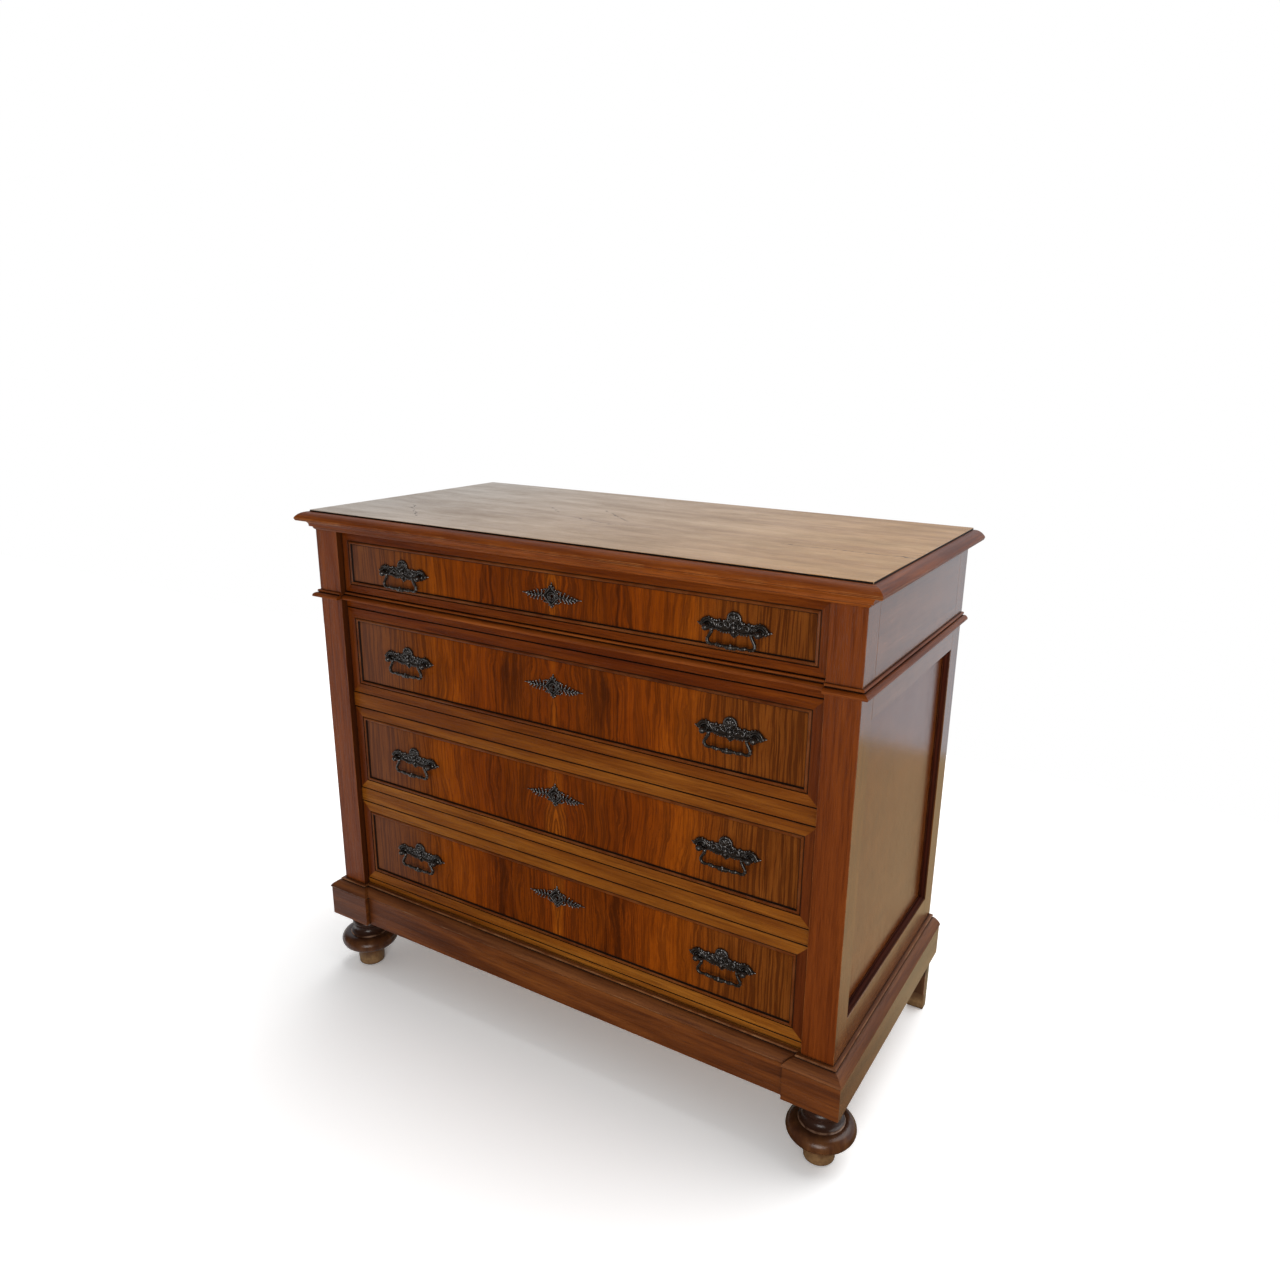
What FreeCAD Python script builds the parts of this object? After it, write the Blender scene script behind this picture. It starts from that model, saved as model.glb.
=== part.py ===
import FreeCAD, Part
import math
import os

from FreeCAD import Vector

# Four-drawer walnut commode on a plinth, with bun feet in front and square
# feet behind.  Millimetres.  The model is worked out in case coordinates:
# x = 0 on the centre line, y = 0 on the front faces of the corner posts and
# growing towards the back, z = 0 on the floor.  save() moves every piece so
# that the origin lies under the middle of the whole chest.

# ---- overall sizes ----
case_width = 1100.0        # over the outer faces of the corner posts
case_depth = 528.0         # post front face to the flush back
foot_height = 128.0        # floor to the underside of the plinth

# ---- heights, stacked from the feet up ----
fascia_height = 62.0       # flat plinth board
plinth_mould_height = 20.5
base_rail_show = 10.5      # bottom rail seen above the plinth moulding
drawer_heights = (117.0, 175.0, 178.0, 180.0)   # openings, top drawer first
rail_heights = (29.0, 29.0, 28.0)               # below drawers 1, 2 and 3
bed_mould_height = 18.0
top_thickness = 20.0

# ---- carcase ----
post_width = 56.0
post_depth = 50.0
rear_post_depth = 48.0
side_thickness = 34.0
front_setback = 12.0       # drawer fronts and rails behind the post faces
rail_depth = 38.0
side_mid_rail_drop = 61.0  # side rail below the waist line
side_bottom_rail_show = 57.0   # side rail above the plinth
panel_thickness = 10.0
panel_recess = 12.0        # side panel behind the frame's face
panel_tongue = 8.0
panel_play = 0.8           # room left for the panel at its groove's floor
groove_clearance = 0.2
tenon_length = 18.0
tenon_thickness = 12.0
tenon_shoulder = 10.0
rail_tenon_thickness = 16.0
rail_tenon_shoulder = 5.0
back_thickness = 12.0
back_inset = 2.0           # back boards in from the rear faces
back_rebate = 9.5
back_board_count = 5
back_board_gap = 0.6
bottom_board_thickness = 11.0

# ---- plinth and feet ----
fascia_overhang = 21.5
plinth_nose_overhang = 23.5
plinth_break = 9.0         # middle of the plinth behind its corner blocks
bun_radius = 59.0
bun_drop = 67.0            # widest level of the bun below the plinth
bun_inset_x = 32.0         # foot axis outside the post's inner face
bun_inset_y = 32.0         # foot axis behind the post's front face
bun_ring_radius = 38.0
bun_neck_radius = 29.5
bun_head_radius = 33.5
sole_radius = 28.0
sole_height = 36.0         # where the sole meets the bun
dowel_radius = 11.0
dowel_length = 36.0
dowel_clearance = 0.1
rear_foot_width = 33.0
rear_foot_depth = 22.0
rear_foot_reach = 11.0     # outer face beyond the post's outer face
rear_foot_bevel = 2.0

# ---- mouldings ----
top_nose_overhang = 27.0
field_overhang = 5.5       # raised field of the top beyond the posts
field_step = 3.5
field_round = 0.8
waist_overhang = 12.0
waist_height = 13.5
panel_mould_width = 8.0
panel_mould_drop = 2.0     # panel moulding's edge behind the frame's face

# ---- drawers ----
fit_side = 1.2
fit_top = 1.2
fit_bottom = 1.0
run_clearance = 0.3
front_thickness = 24.0
field_sink = 4.0
frame_margins = (14.5, 19.0, 19.0, 20.0)
bead_width = 8.0
bead_proud = 0.6
side_board = 11.0
side_top_drop = 3.0
drawer_back = 10.0
drawer_back_drop = 12.0
back_clearance = 9.0
drawer_bottom = 7.0
bottom_rise = 10.0
bottom_tongue = 5.5
tail_lap = 16.0
tail_counts = (2, 3, 3, 3)
tail_slope = 0.16
tail_share = 0.30          # half a tail's narrow end, of one tail's pitch

# ---- runners ----
runner_width = 50.0
runner_thickness = 18.0
guide_rise = 22.0
stop_length = 36.0
stop_width = 22.0
stop_rise = 5.0
stop_inset = 244.0         # from the post's inner face
stop_clearance = 0.3

# ---- locks ----
keyhole_drops = (61.0, 75.0, 75.0, 73.0)   # below the top of the opening
lock_half_width = 24.0
lock_depth = 12.0
lock_below_key = 14.0
selvedge_half_width = 30.0
selvedge_lip = 1.0
selvedge_thickness = 2.5
bolt_half_width = 11.0
bolt_thickness = 6.0
bolt_above_key = 6.0
bolt_clearance = 0.3
bolt_drop = 0.2
strike_depth = 10.5
strike_clearance = 1.0
key_radius = 3.2
key_slot_width = 3.0
key_slot_length = 9.0
lock_cap = 2.0             # solid back of the lock behind the keyhole

# ---- handles ----
handle_drops = (63.0, 84.0, 84.0, 84.0)    # below the top of the opening
handle_inset = 154.0       # plate centre in from the post's inner face
plate_thickness = 3.0
escutcheon_thickness = 2.5
eye_offset = 44.0
eye_drop = 3.5
eye_stand = 10.5           # bail axis in front of the drawer's field
ball_radius = 6.0
stem_radius = 4.0
collar_radius = 6.5
collar_thickness = 1.5
shank_radius = 2.5
shank_clearance = 0.1
nut_width = 10.0
nut_thickness = 5.0
shank_tail = 2.0
bail_radius = 2.0
pin_clearance = 0.1
pin_slack = 1.5            # end of the bail's pin short of the ball's centre

# ---- places worked out from the sizes above ----
half_width = case_width / 2
post_inner = half_width - post_width
side_inner = half_width - side_thickness
fascia_top = foot_height + fascia_height
plinth_top = fascia_top + plinth_mould_height
base_rail_top = plinth_top + base_rail_show
rear_post_front = case_depth - rear_post_depth
rail_back = front_setback + rail_depth
front_back_face = front_setback + front_thickness
field_face = front_setback + field_sink
boards_front = case_depth - back_inset - back_thickness
drawer_end = boards_front - back_clearance
drawer_half = post_inner - fit_side
drawer_inner = drawer_half - side_board
handle_x = post_inner - handle_inset


def stack_openings():
    """(bottom, top) of each drawer opening, top drawer first."""
    spans = []
    z = base_rail_top
    for index in reversed(range(len(drawer_heights))):
        spans.insert(0, (z, z + drawer_heights[index]))
        z += drawer_heights[index]
        if index:
            z += rail_heights[index - 1]
    return spans


openings = stack_openings()
frieze_top = openings[0][1]
top_underside = frieze_top + bed_mould_height
top_surface = top_underside + top_thickness
waist_level = openings[0][0]
front_reach = max(top_nose_overhang, bun_radius - bun_inset_y)
origin_shift = Vector(0, -(case_depth - front_reach) / 2, 0)


# ---- building blocks ----
def block(x0, x1, y0, y1, z0, z1):
    return Part.makeBox(x1 - x0, y1 - y0, z1 - z0, Vector(x0, y0, z0))


def disc(x, z, r, y0, y1):
    """Round plate or rod along y."""
    return Part.makeCylinder(r, y1 - y0, Vector(x, y0, z), Vector(0, 1, 0))


def flat(points, y0, y1):
    """Plate of any straight-sided outline, given as (x, z) corners."""
    corners = [Vector(x, y0, z) for x, z in points]
    face = Part.Face(Part.makePolygon(corners + [corners[0]]))
    return face.extrude(Vector(0, y1 - y0, 0))


def mirrored(shape):
    return shape.mirror(Vector(0, 0, 0), Vector(1, 0, 0))


def pair(shape):
    return [shape, mirrored(shape)]


def both(shape):
    return shape.fuse(mirrored(shape))


def cut_all(shape, tools):
    for tool in tools:
        shape = shape.cut(tool)
    return shape


def fuse_all(shapes):
    result = shapes[0]
    for shape in shapes[1:]:
        result = result.fuse(shape)
    return result.removeSplitter()


def save(name, shapes):
    """Writes one node: every shape's solids, moved to the part's origin."""
    solids = []
    for shape in shapes:
        moved = shape.copy()
        moved.translate(origin_shift)
        solids.extend(moved.Solids)
    result = solids[0] if len(solids) == 1 else Part.makeCompound(solids)
    result.exportStep("parts/" + name + ".step")


def outline(start, steps):
    """Closed face of an (across, up) outline: a step of two numbers is a line
    to a point, a step of four an arc through the first point to the second."""
    edges = []
    here = Vector(start[0], 0, start[1])
    for step in steps + [start]:
        there = Vector(step[-2], 0, step[-1])
        if len(step) == 4:
            middle = Vector(step[0], 0, step[1])
            edges.append(Part.Arc(here, middle, there).toShape())
        elif (there - here).Length > 1e-6:
            edges.append(Part.LineSegment(here, there).toShape())
        here = there
    return Part.Face(Part.Wire(edges))


def right_of(way):
    return Vector(way.y, -way.x, 0)


def strip(face, start, end, start_mitre, end_mitre, reach):
    """One length of moulding.  The outline's across axis points to the right
    of the way from start to end; both ends are cut along their mitres."""
    way = (end - start).normalize()
    length = (end - start).Length + 2 * reach
    solid = face.extrude(Vector(0, length, 0))
    turn = math.degrees(math.atan2(way.y, way.x)) - 90.0
    solid.rotate(Vector(0, 0, 0), Vector(0, 0, 1), turn)
    solid.translate(start - way * reach)
    corners = [
        start - start_mitre * reach,
        end - end_mitre * reach,
        end + end_mitre * reach,
        start + start_mitre * reach,
    ]
    far = top_surface * 2
    ring = [Vector(p.x, p.y, -far) for p in corners]
    trim = Part.Face(Part.makePolygon(ring + [ring[0]]))
    return solid.common(trim.extrude(Vector(0, 0, 2 * far)))


def strips(face, path, reach):
    """Mitred lengths of one moulding along a plan path."""
    points = [Vector(x, y, 0) for x, y in path]
    normals = [right_of((b - a).normalize()) for a, b in zip(points, points[1:])]
    mitres = [normals[0]]
    for n, m in zip(normals, normals[1:]):
        mitres.append((n + m) * (1.0 / (1.0 + n.dot(m))))
    mitres.append(normals[-1])
    return [
        strip(face, points[i], points[i + 1], mitres[i], mitres[i + 1], reach)
        for i in range(len(points) - 1)
    ]


def sight_frame(face, x0, x1, z0, z1, floor_y, reach):
    """Four mitred strips round the inside of an upright rectangle.  The
    outline runs (inwards, forwards) from the rectangle's edge on floor_y."""
    corners = [Vector(x0, z0, 0), Vector(x0, z1, 0), Vector(x1, z1, 0), Vector(x1, z0, 0)]
    count = len(corners)
    ways = [(corners[(i + 1) % count] - corners[i]).normalize() for i in range(count)]
    normals = [right_of(way) for way in ways]
    pieces = []
    for i in range(count):
        after = (i + 1) % count
        piece = strip(face, corners[i], corners[after], normals[i] + normals[i - 1],
                      normals[i] + normals[after], reach)
        # stand the plan frame up into the x-z plane, facing -y
        piece.rotate(Vector(0, 0, 0), Vector(1, 0, 0), 90.0)
        piece.translate(Vector(0, floor_y, 0))
        pieces.append(piece)
    return pieces


# ---- top and its mouldings ----
def is_field_rim(edge):
    """Upper front and side edges of the raised field."""
    box = edge.BoundBox
    return box.ZMin > top_surface - 0.01 and box.YMin < case_depth - 0.01


def case_path(offset):
    """Plan path round the left side, the front and the right side."""
    edge = half_width + offset
    return [(-edge, case_depth), (-edge, -offset), (edge, -offset), (edge, case_depth)]


def build_top():
    edge = half_width + field_overhang
    board = block(-edge, edge, -field_overhang, case_depth, top_underside, top_surface)
    rim = [e for e in board.Edges if is_field_rim(e)]
    save("top_board", [board.makeFillet(field_round, rim)])

    out = top_nose_overhang - field_overhang
    low = top_underside
    high = top_surface - field_step
    face = outline((0.0, low), [
        (0.0, high),
        (2.0, high),
        (out - 7.0, high - 3.6, out, low + 5.6),
        (out, low + 3.2),
        (out - 1.0, low + 2.6),
        (out - 1.0, low + 1.0),
        (out - 2.0, low),
    ])
    save("top_edge_moulding", strips(face, case_path(field_overhang), out + 5.0))

    low = frieze_top
    face = outline((0.0, low), [
        (2.4, low + 1.8, 3.5, low + 4.8),
        (3.5, low + 6.4),
        (8.5, low + 6.4),
        (8.5, low + 8.6),
        (10.4, low + 13.6, 15.0, top_underside - 1.6),
        (15.5, top_underside),
        (0.0, top_underside),
    ])
    save("bed_moulding", strips(face, case_path(0.0), 20.0))


# ---- posts, side frames and panels ----
def side_rail_spans():
    """(bottom, top) of a side's bottom rail, middle rail and frieze board."""
    return [
        (foot_height, plinth_top + side_bottom_rail_show),
        (waist_level - side_mid_rail_drop, waist_level),
        (waist_level, top_underside),
    ]


def side_tenons():
    """Both tenons of each of the right side's rails, in the same order."""
    middle = half_width - side_thickness / 2
    x0 = middle - tenon_thickness / 2
    x1 = middle + tenon_thickness / 2
    tenons = []
    for low, high in side_rail_spans():
        z0 = max(low, fascia_top) + tenon_shoulder
        z1 = high - tenon_shoulder
        front = block(x0, x1, post_depth - tenon_length, post_depth, z0, z1)
        rear = block(x0, x1, rear_post_front, rear_post_front + tenon_length, z0, z1)
        tenons.append((front, rear))
    return tenons


def side_panel(faces, ends):
    """Right side panel with its tongues, with an allowance on each face and
    at each end."""
    tongue = panel_tongue + ends
    outer = half_width - panel_recess + faces
    inner = half_width - panel_recess - panel_thickness - faces
    spans = side_rail_spans()
    return block(inner, outer, post_depth - tongue, rear_post_front + tongue,
                 spans[0][1] - tongue, spans[1][0] + tongue)


def front_rail_spans():
    """(bottom, top) of the front rails, from the top rail down."""
    spans = [(frieze_top, top_underside)]
    for upper, lower in zip(openings, openings[1:]):
        spans.append((lower[1], upper[0]))
    spans.append((foot_height, base_rail_top))
    return spans


def front_rail_tenons():
    """Right end tenons of the front rails."""
    middle = front_setback + rail_depth / 2
    y0 = middle - rail_tenon_thickness / 2
    y1 = middle + rail_tenon_thickness / 2
    return [
        block(post_inner, post_inner + tenon_length, y0, y1,
              low + rail_tenon_shoulder, high - rail_tenon_shoulder)
        for low, high in front_rail_spans()
    ]


def bun_axis():
    return Vector(post_inner + bun_inset_x, bun_inset_y, 0)


def front_post_block():
    return block(post_inner, half_width, 0, post_depth, foot_height, top_underside)


def build_posts():
    groove = side_panel(groove_clearance, panel_play)
    ends = side_tenons()
    axis = bun_axis()
    hole = Part.makeCylinder(dowel_radius, dowel_length + 1.0,
                             Vector(axis.x, axis.y, foot_height))
    mortises = [front for front, rear in ends] + front_rail_tenons()
    front = cut_all(front_post_block(), mortises + [hole, groove])
    save("front_posts", pair(front))

    rear = block(side_inner, half_width, rear_post_front, case_depth, fascia_top,
                 top_underside)
    rebate = block(side_inner, side_inner + back_rebate + groove_clearance, boards_front,
                   case_depth, fascia_top, top_underside)
    rear = cut_all(rear, [tenon for front_end, tenon in ends] + [rebate, groove])
    save("rear_posts", pair(rear))


def build_sides():
    groove = side_panel(groove_clearance, panel_play)
    rails = []
    for (low, high), (front, rear) in zip(side_rail_spans(), side_tenons()):
        rail = block(side_inner, half_width, post_depth, rear_post_front, low, high)
        rails.extend(pair(fuse_all([rail.cut(groove), front, rear])))
    save("side_rails", rails)
    save("side_panels", pair(side_panel(0.0, 0.0)))

    depth = panel_recess - panel_mould_drop
    width = panel_mould_width
    face = outline((0.0, 0.0), [
        (0.0, depth),
        (2.0, depth),
        (3.0, depth - 2.0),
        (width - 2.2, depth - 3.4, width - 1.6, 2.4),
        (width, 1.6),
        (width, 0.0),
    ])
    spans = side_rail_spans()
    mouldings = []
    for piece in sight_frame(face, post_depth, rear_post_front, spans[0][1], spans[1][0],
                             panel_recess - half_width, width + 5.0):
        # turn the frame that faces -y to face +x
        piece.rotate(Vector(0, 0, 0), Vector(0, 0, 1), 90.0)
        mouldings.extend(pair(piece))
    save("side_panel_moulding", mouldings)


# ---- waist moulding and front rails ----
def build_waist():
    out = waist_overhang
    high = waist_level
    low = waist_level - waist_height
    face = outline((0.0, low), [
        (0.0, high),
        (2.4, high),
        (4.6, high - 2.4, 2.4, high - 4.8),
        (2.4, high - 5.6),
        (4.6, high - 5.6),
        (out - 1.8, high - 7.8, out, low + 3.0),
        (out, low),
    ])
    reach = out + 5.0
    side = strips(face, [(post_inner, 0), (half_width, 0), (half_width, case_depth)], reach)
    ledge = [(-post_inner, front_setback), (post_inner, front_setback)]
    middle = strips(face, ledge, reach)
    save("waist_moulding", [s for piece in side for s in pair(piece)] + middle)


def bolt_faces():
    """Front and back faces of a lock bolt."""
    middle = front_back_face - lock_depth / 2
    return middle - bolt_thickness / 2, middle + bolt_thickness / 2


def strike_mortise(low):
    """Pocket in the rail above a drawer for its lock bolt."""
    y0, y1 = bolt_faces()
    half = bolt_half_width + strike_clearance
    return block(-half, half, y0 - strike_clearance, y1 + strike_clearance, low,
                 low + strike_depth)


def build_front_rails():
    rails = []
    tenons = front_rail_tenons()
    spans = front_rail_spans()
    for index, (low, high) in enumerate(spans):
        face = front_setback if index else 0.0
        rail = block(-post_inner, post_inner, face, rail_back, low, high)
        if index == len(spans) - 1:
            backing = block(-post_inner, post_inner, plinth_break, front_setback, low,
                            plinth_top)
            rail = rail.fuse(backing)
        else:
            rail = rail.cut(strike_mortise(low))
        rails.append(fuse_all([rail, tenons[index], mirrored(tenons[index])]))
    save("front_rails", rails)


# ---- runners, stops, bottom and back ----
def build_runners():
    post = front_post_block()
    start = side_inner - runner_width
    pieces = [block(start, side_inner, rail_back, boards_front, frieze_top, top_underside)]
    for index, (low, high) in enumerate(openings):
        pieces.append(block(post_inner, side_inner, post_depth, boards_front, low,
                            low + guide_rise))
        if low > base_rail_top:
            pieces.append(block(start, side_inner, rail_back, boards_front,
                                low - runner_thickness, low))
        x = post_inner - stop_inset
        y = front_back_face + stop_clearance
        end = min(y + stop_width, rail_back)
        pieces.append(block(x - stop_length / 2, x + stop_length / 2, y, end, low,
                            low + stop_rise))
    save("runners_and_stops", [s for piece in pieces for s in pair(piece.cut(post))])


def build_bottom_and_back():
    board = block(-side_inner, side_inner, rail_back, boards_front,
                  base_rail_top - bottom_board_thickness, base_rail_top)
    save("bottom_board", [cut_all(board, pair(front_post_block()))])

    half = side_inner + back_rebate
    pitch = 2 * half / back_board_count
    boards = []
    for index in range(back_board_count):
        x0 = -half + index * pitch + back_board_gap / 2
        boards.append(block(x0, x0 + pitch - back_board_gap, boards_front,
                            boards_front + back_thickness, fascia_top, top_underside))
    save("back_boards", boards)


# ---- plinth ----
def plinth_path():
    """Plan path round the case, set back between the corner posts."""
    right = [(post_inner, plinth_break), (post_inner, 0), (half_width, 0),
             (half_width, case_depth)]
    left = [(-x, y) for x, y in reversed(right)]
    return left + right


def rear_foot():
    outer = half_width + rear_foot_reach
    return block(outer - rear_foot_width, outer, case_depth - rear_foot_depth, case_depth,
                 0, fascia_top)


def build_plinth():
    face = outline((0.0, foot_height), [
        (0.0, fascia_top),
        (fascia_overhang, fascia_top),
        (fascia_overhang, foot_height),
    ])
    lengths = strips(face, plinth_path(), fascia_overhang + 5.0)
    left_side, left_face, left_return, middle = lengths[:4]
    right_return, right_face, right_side = lengths[4:]
    foot = rear_foot()
    boards = [left_side.cut(mirrored(foot)), right_side.cut(foot), middle,
              fuse_all([left_face, left_return]), fuse_all([right_face, right_return])]
    inner = half_width + rear_foot_reach - rear_foot_width
    boards.append(block(-inner, inner, case_depth - fascia_overhang, case_depth,
                        foot_height, fascia_top))
    save("plinth_boards", boards)

    out = plinth_nose_overhang
    low = fascia_top
    high = plinth_top
    face = outline((0.0, low), [
        (0.0, high),
        (5.2, high),
        (7.2, high - 1.9, 5.6, high - 3.8),
        (5.6, high - 5.0),
        (8.2, high - 5.0),
        (out - 5.0, low + 9.6, out, low + 3.2),
        (out - 1.2, low + 0.8),
        (out - 3.0, low),
    ])
    save("plinth_moulding", strips(face, plinth_path(), out + 5.0))


# ---- feet ----
def bun_foot():
    """Turned foot with its dowel: sole, bun, ring, hollow neck and head."""
    r = bun_radius
    wide = foot_height - bun_drop
    ring = wide + 19.0
    belly = r - 17.0
    low = sole_height + 9.5
    face = outline((0.0, 0.0), [
        (sole_radius - 4.0, 0.0),
        (sole_radius - 1.8, 2.2),
        (sole_radius - 0.8, sole_height / 2, sole_radius, sole_height),
        (sole_radius + 5.0, low - 3.2, belly, low),
        (r - 5.0, low + 4.9, r, wide),
        (r - 6.0, wide + 12.6, bun_ring_radius + 1.5, ring - 3.0),
        (bun_ring_radius, ring - 2.0),
        (bun_ring_radius, ring),
        (bun_neck_radius + 2.0, ring + 4.5, bun_neck_radius, ring + 13.0),
        (bun_neck_radius + 5.0, ring + 20.0, bun_neck_radius + 2.0, ring + 28.0),
        (bun_head_radius, ring + 31.0),
        (bun_head_radius, foot_height),
        (dowel_radius - dowel_clearance, foot_height),
        (dowel_radius - dowel_clearance, foot_height + dowel_length),
        (0.0, foot_height + dowel_length),
    ])
    foot = face.revolve(Vector(0, 0, 0), Vector(0, 0, 1), 360.0)
    foot.translate(bun_axis())
    return foot


def build_feet():
    rear = rear_foot()
    rim = [e for e in rear.Edges if e.BoundBox.ZMax < 0.01]
    save("feet", pair(bun_foot()) + pair(rear.makeChamfer(rear_foot_bevel, rim)))


# ---- drawer boxes ----
def tail_shapes(z0, z1, count, y_base, y_tip):
    """Dovetails on the right side board, wider at the tip than at the base."""
    pitch = (z1 - z0) / count
    base = pitch * tail_share
    tip = base + abs(y_tip - y_base) * tail_slope
    tails = []
    for index in range(count):
        z = z0 + pitch * (index + 0.5)
        corners = [
            Vector(drawer_inner, y_base, z - base), Vector(drawer_inner, y_tip, z - tip),
            Vector(drawer_inner, y_tip, z + tip), Vector(drawer_inner, y_base, z + base),
        ]
        face = Part.Face(Part.makePolygon(corners + [corners[0]]))
        tails.append(face.extrude(Vector(side_board, 0, 0)))
    return tails


def keyhole(z, y0, y1):
    """Round eye over a slot, through from y0 to y1."""
    half = key_slot_width / 2
    return disc(0, z, key_radius, y0, y1).fuse(
        block(-half, half, y0, y1, z - key_slot_length, z))


def lock_body(top, key_z):
    """Lock case under its edge plate."""
    y0 = front_back_face - lock_depth
    low = top - selvedge_thickness
    case = block(-lock_half_width, lock_half_width, y0, front_back_face,
                 key_z - lock_below_key, low)
    plate = block(-selvedge_half_width, selvedge_half_width, y0 - selvedge_lip,
                  front_back_face, low, top)
    return fuse_all([case, plate])


def build_lock(name, top, key_z):
    """Lock case with its channel and keyhole, and the bolt that rises in it."""
    y0, y1 = bolt_faces()
    c = bolt_clearance
    half = bolt_half_width
    low = key_z + bolt_above_key
    channel = block(-half - c, half + c, y0 - c, y1 + c, low - c, top)
    key = keyhole(key_z, front_setback, front_back_face - lock_cap)
    save(name + "_lock_case", [cut_all(lock_body(top, key_z), [channel, key])])
    save(name + "_lock_bolt", [block(-half, half, y0, y1, low, top - bolt_drop)])


def floor_board(gap):
    """Drawer bottom, in its grooves, with an allowance all round."""
    half = drawer_inner + bottom_tongue + gap
    low = run_clearance + bottom_rise - gap
    return block(-half, half, front_back_face - bottom_tongue - gap, drawer_end + gap,
                 low, low + drawer_bottom + 2 * gap)


def build_drawer(index):
    name = "drawer_%d" % (index + 1)
    z0, z1 = openings[index]
    front_low = z0 + fit_bottom
    top = z1 - fit_top
    margin = frame_margins[index]
    key_z = z1 - keyhole_drops[index]
    handle_z = z1 - handle_drops[index]
    side_low = z0 + run_clearance
    side_top = top - side_top_drop
    back_top = side_top - drawer_back_drop

    floor = floor_board(0.0)
    groove = floor_board(groove_clearance)
    floor.translate(Vector(0, 0, z0))
    groove.translate(Vector(0, 0, z0))
    floor_top = floor.BoundBox.ZMax
    count = tail_counts[index]
    back_face = drawer_end - drawer_back
    front_tails = tail_shapes(floor_top, side_top, count, front_back_face,
                              front_back_face - tail_lap)
    back_tails = tail_shapes(floor_top, back_top, count, back_face, drawer_end)

    field_x = drawer_half - margin
    field_low = front_low + margin
    field_top = top - margin
    front = block(-drawer_half, drawer_half, front_setback, front_back_face, front_low, top)
    field = block(-field_x, field_x, front_setback, field_face, field_low, field_top)
    key = keyhole(key_z, field_face, front_back_face - lock_depth)
    tools = [field, lock_body(top, key_z), key, groove]
    for x in (handle_x - eye_offset, handle_x + eye_offset):
        tools.extend(pair(shank(x, handle_z - eye_drop, shank_clearance)))
    for tail in front_tails:
        tools.extend(pair(tail))
    save(name + "_front", [cut_all(front, tools)])

    w = bead_width
    d = field_sink
    face = outline((0.0, 0.0), [
        (0.0, d - 1.6),
        (1.0, d - 1.6),
        (w * 0.45, d + bead_proud, w - 1.0, d - 2.6),
        (w - 1.0, 0.8),
        (w, 0.8),
        (w, 0.0),
    ])
    save(name + "_moulding", sight_frame(face, -field_x, field_x, field_low, field_top,
                                         field_face, w + 5.0))

    plank = block(drawer_inner, drawer_half, front_back_face, back_face, side_low, side_top)
    side = fuse_all([plank] + front_tails + back_tails).cut(groove)
    save(name + "_sides", pair(side))

    back = block(-drawer_half, drawer_half, back_face, drawer_end, floor_top, back_top)
    save(name + "_back", [cut_all(back, [s for tail in back_tails for s in pair(tail)])])
    save(name + "_bottom", [floor])

    build_lock(name, top, key_z)
    build_escutcheon(name, key_z)
    build_handles(name, handle_z)


# ---- hardware ----
def build_escutcheon(name, key_z):
    """Cast keyhole plate: a lozenge between two tapering foliate arms."""
    y1 = field_face
    y0 = y1 - escutcheon_thickness
    plate = fuse_all([
        flat([(-17, 0), (0, 15.5), (17, 0), (0, -15.5)], y0, y1),
        disc(0, 15, 6.0, y0, y1),
        flat([(-4.5, 17), (0, 24), (4.5, 17)], y0, y1),
        disc(0, -11, 6.5, y0, y1),
        flat([(-5, -14), (0, -20), (5, -14)], y0, y1),
        both(disc(22, 1, 8.5, y0, y1)),
        both(disc(33, -2, 8.0, y0, y1)),
        both(disc(42.5, -2, 6.0, y0, y1)),
        both(flat([(42, -5), (50, -3), (62, 0), (50, 3), (42, 4)], y0, y1)),
        disc(0, 0, 9.0, y0 - 1.0, y1),
    ])
    plate.translate(Vector(0, 0, key_z))
    save(name + "_escutcheon", [plate.cut(keyhole(key_z, front_setback, y1))])


def shank(x, z, clearance):
    """Screwed end of a handle post, through the drawer front and its nut."""
    end = front_back_face + nut_thickness + shank_tail
    return disc(x, z, shank_radius + clearance, field_face - plate_thickness, end)


def handle_plate():
    """Cast back plate about its own centre: crest, scrolls, leaf ends, drop."""
    y1 = field_face
    y0 = y1 - plate_thickness
    return fuse_all([
        flat([(-30, -7), (30, -7), (30, 6), (-30, 6)], y0, y1),
        disc(0, 11, 12.5, y0, y1),
        disc(0, 11, 9.0, y0 - 2.5, y1),
        disc(0, -5, 8.0, y0 - 1.5, y1),
        flat([(-6, -9), (0, -17.5), (6, -9)], y0, y1),
        both(disc(13, 0, 9.5, y0, y1)),
        both(disc(24, 0, 10.0, y0, y1)),
        both(disc(44, 0, 10.5, y0, y1)),
        both(flat([(30, -5), (40, -8), (40, 8), (30, 5)], y0, y1)),
        both(flat([(50, -5), (56, -3.5), (63, 0), (56, 3.5), (50, 5)], y0, y1)),
    ])


def handle_post(x):
    """Turned post with the ball that holds one end of the bail."""
    axis_y = field_face - eye_stand
    z = -eye_drop
    face = field_face - plate_thickness
    inward = Vector(-1.0 if x > 0 else 1.0, 0, 0)
    solid = fuse_all([
        Part.makeSphere(ball_radius, Vector(x, axis_y, z)),
        disc(x, z, stem_radius, axis_y, face),
        disc(x, z, collar_radius, face - collar_thickness, face),
        shank(x, z, 0.0),
    ])
    return solid.cut(Part.makeCylinder(bail_radius + pin_clearance, 2 * ball_radius,
                                       Vector(x, axis_y, z), inward))


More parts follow.
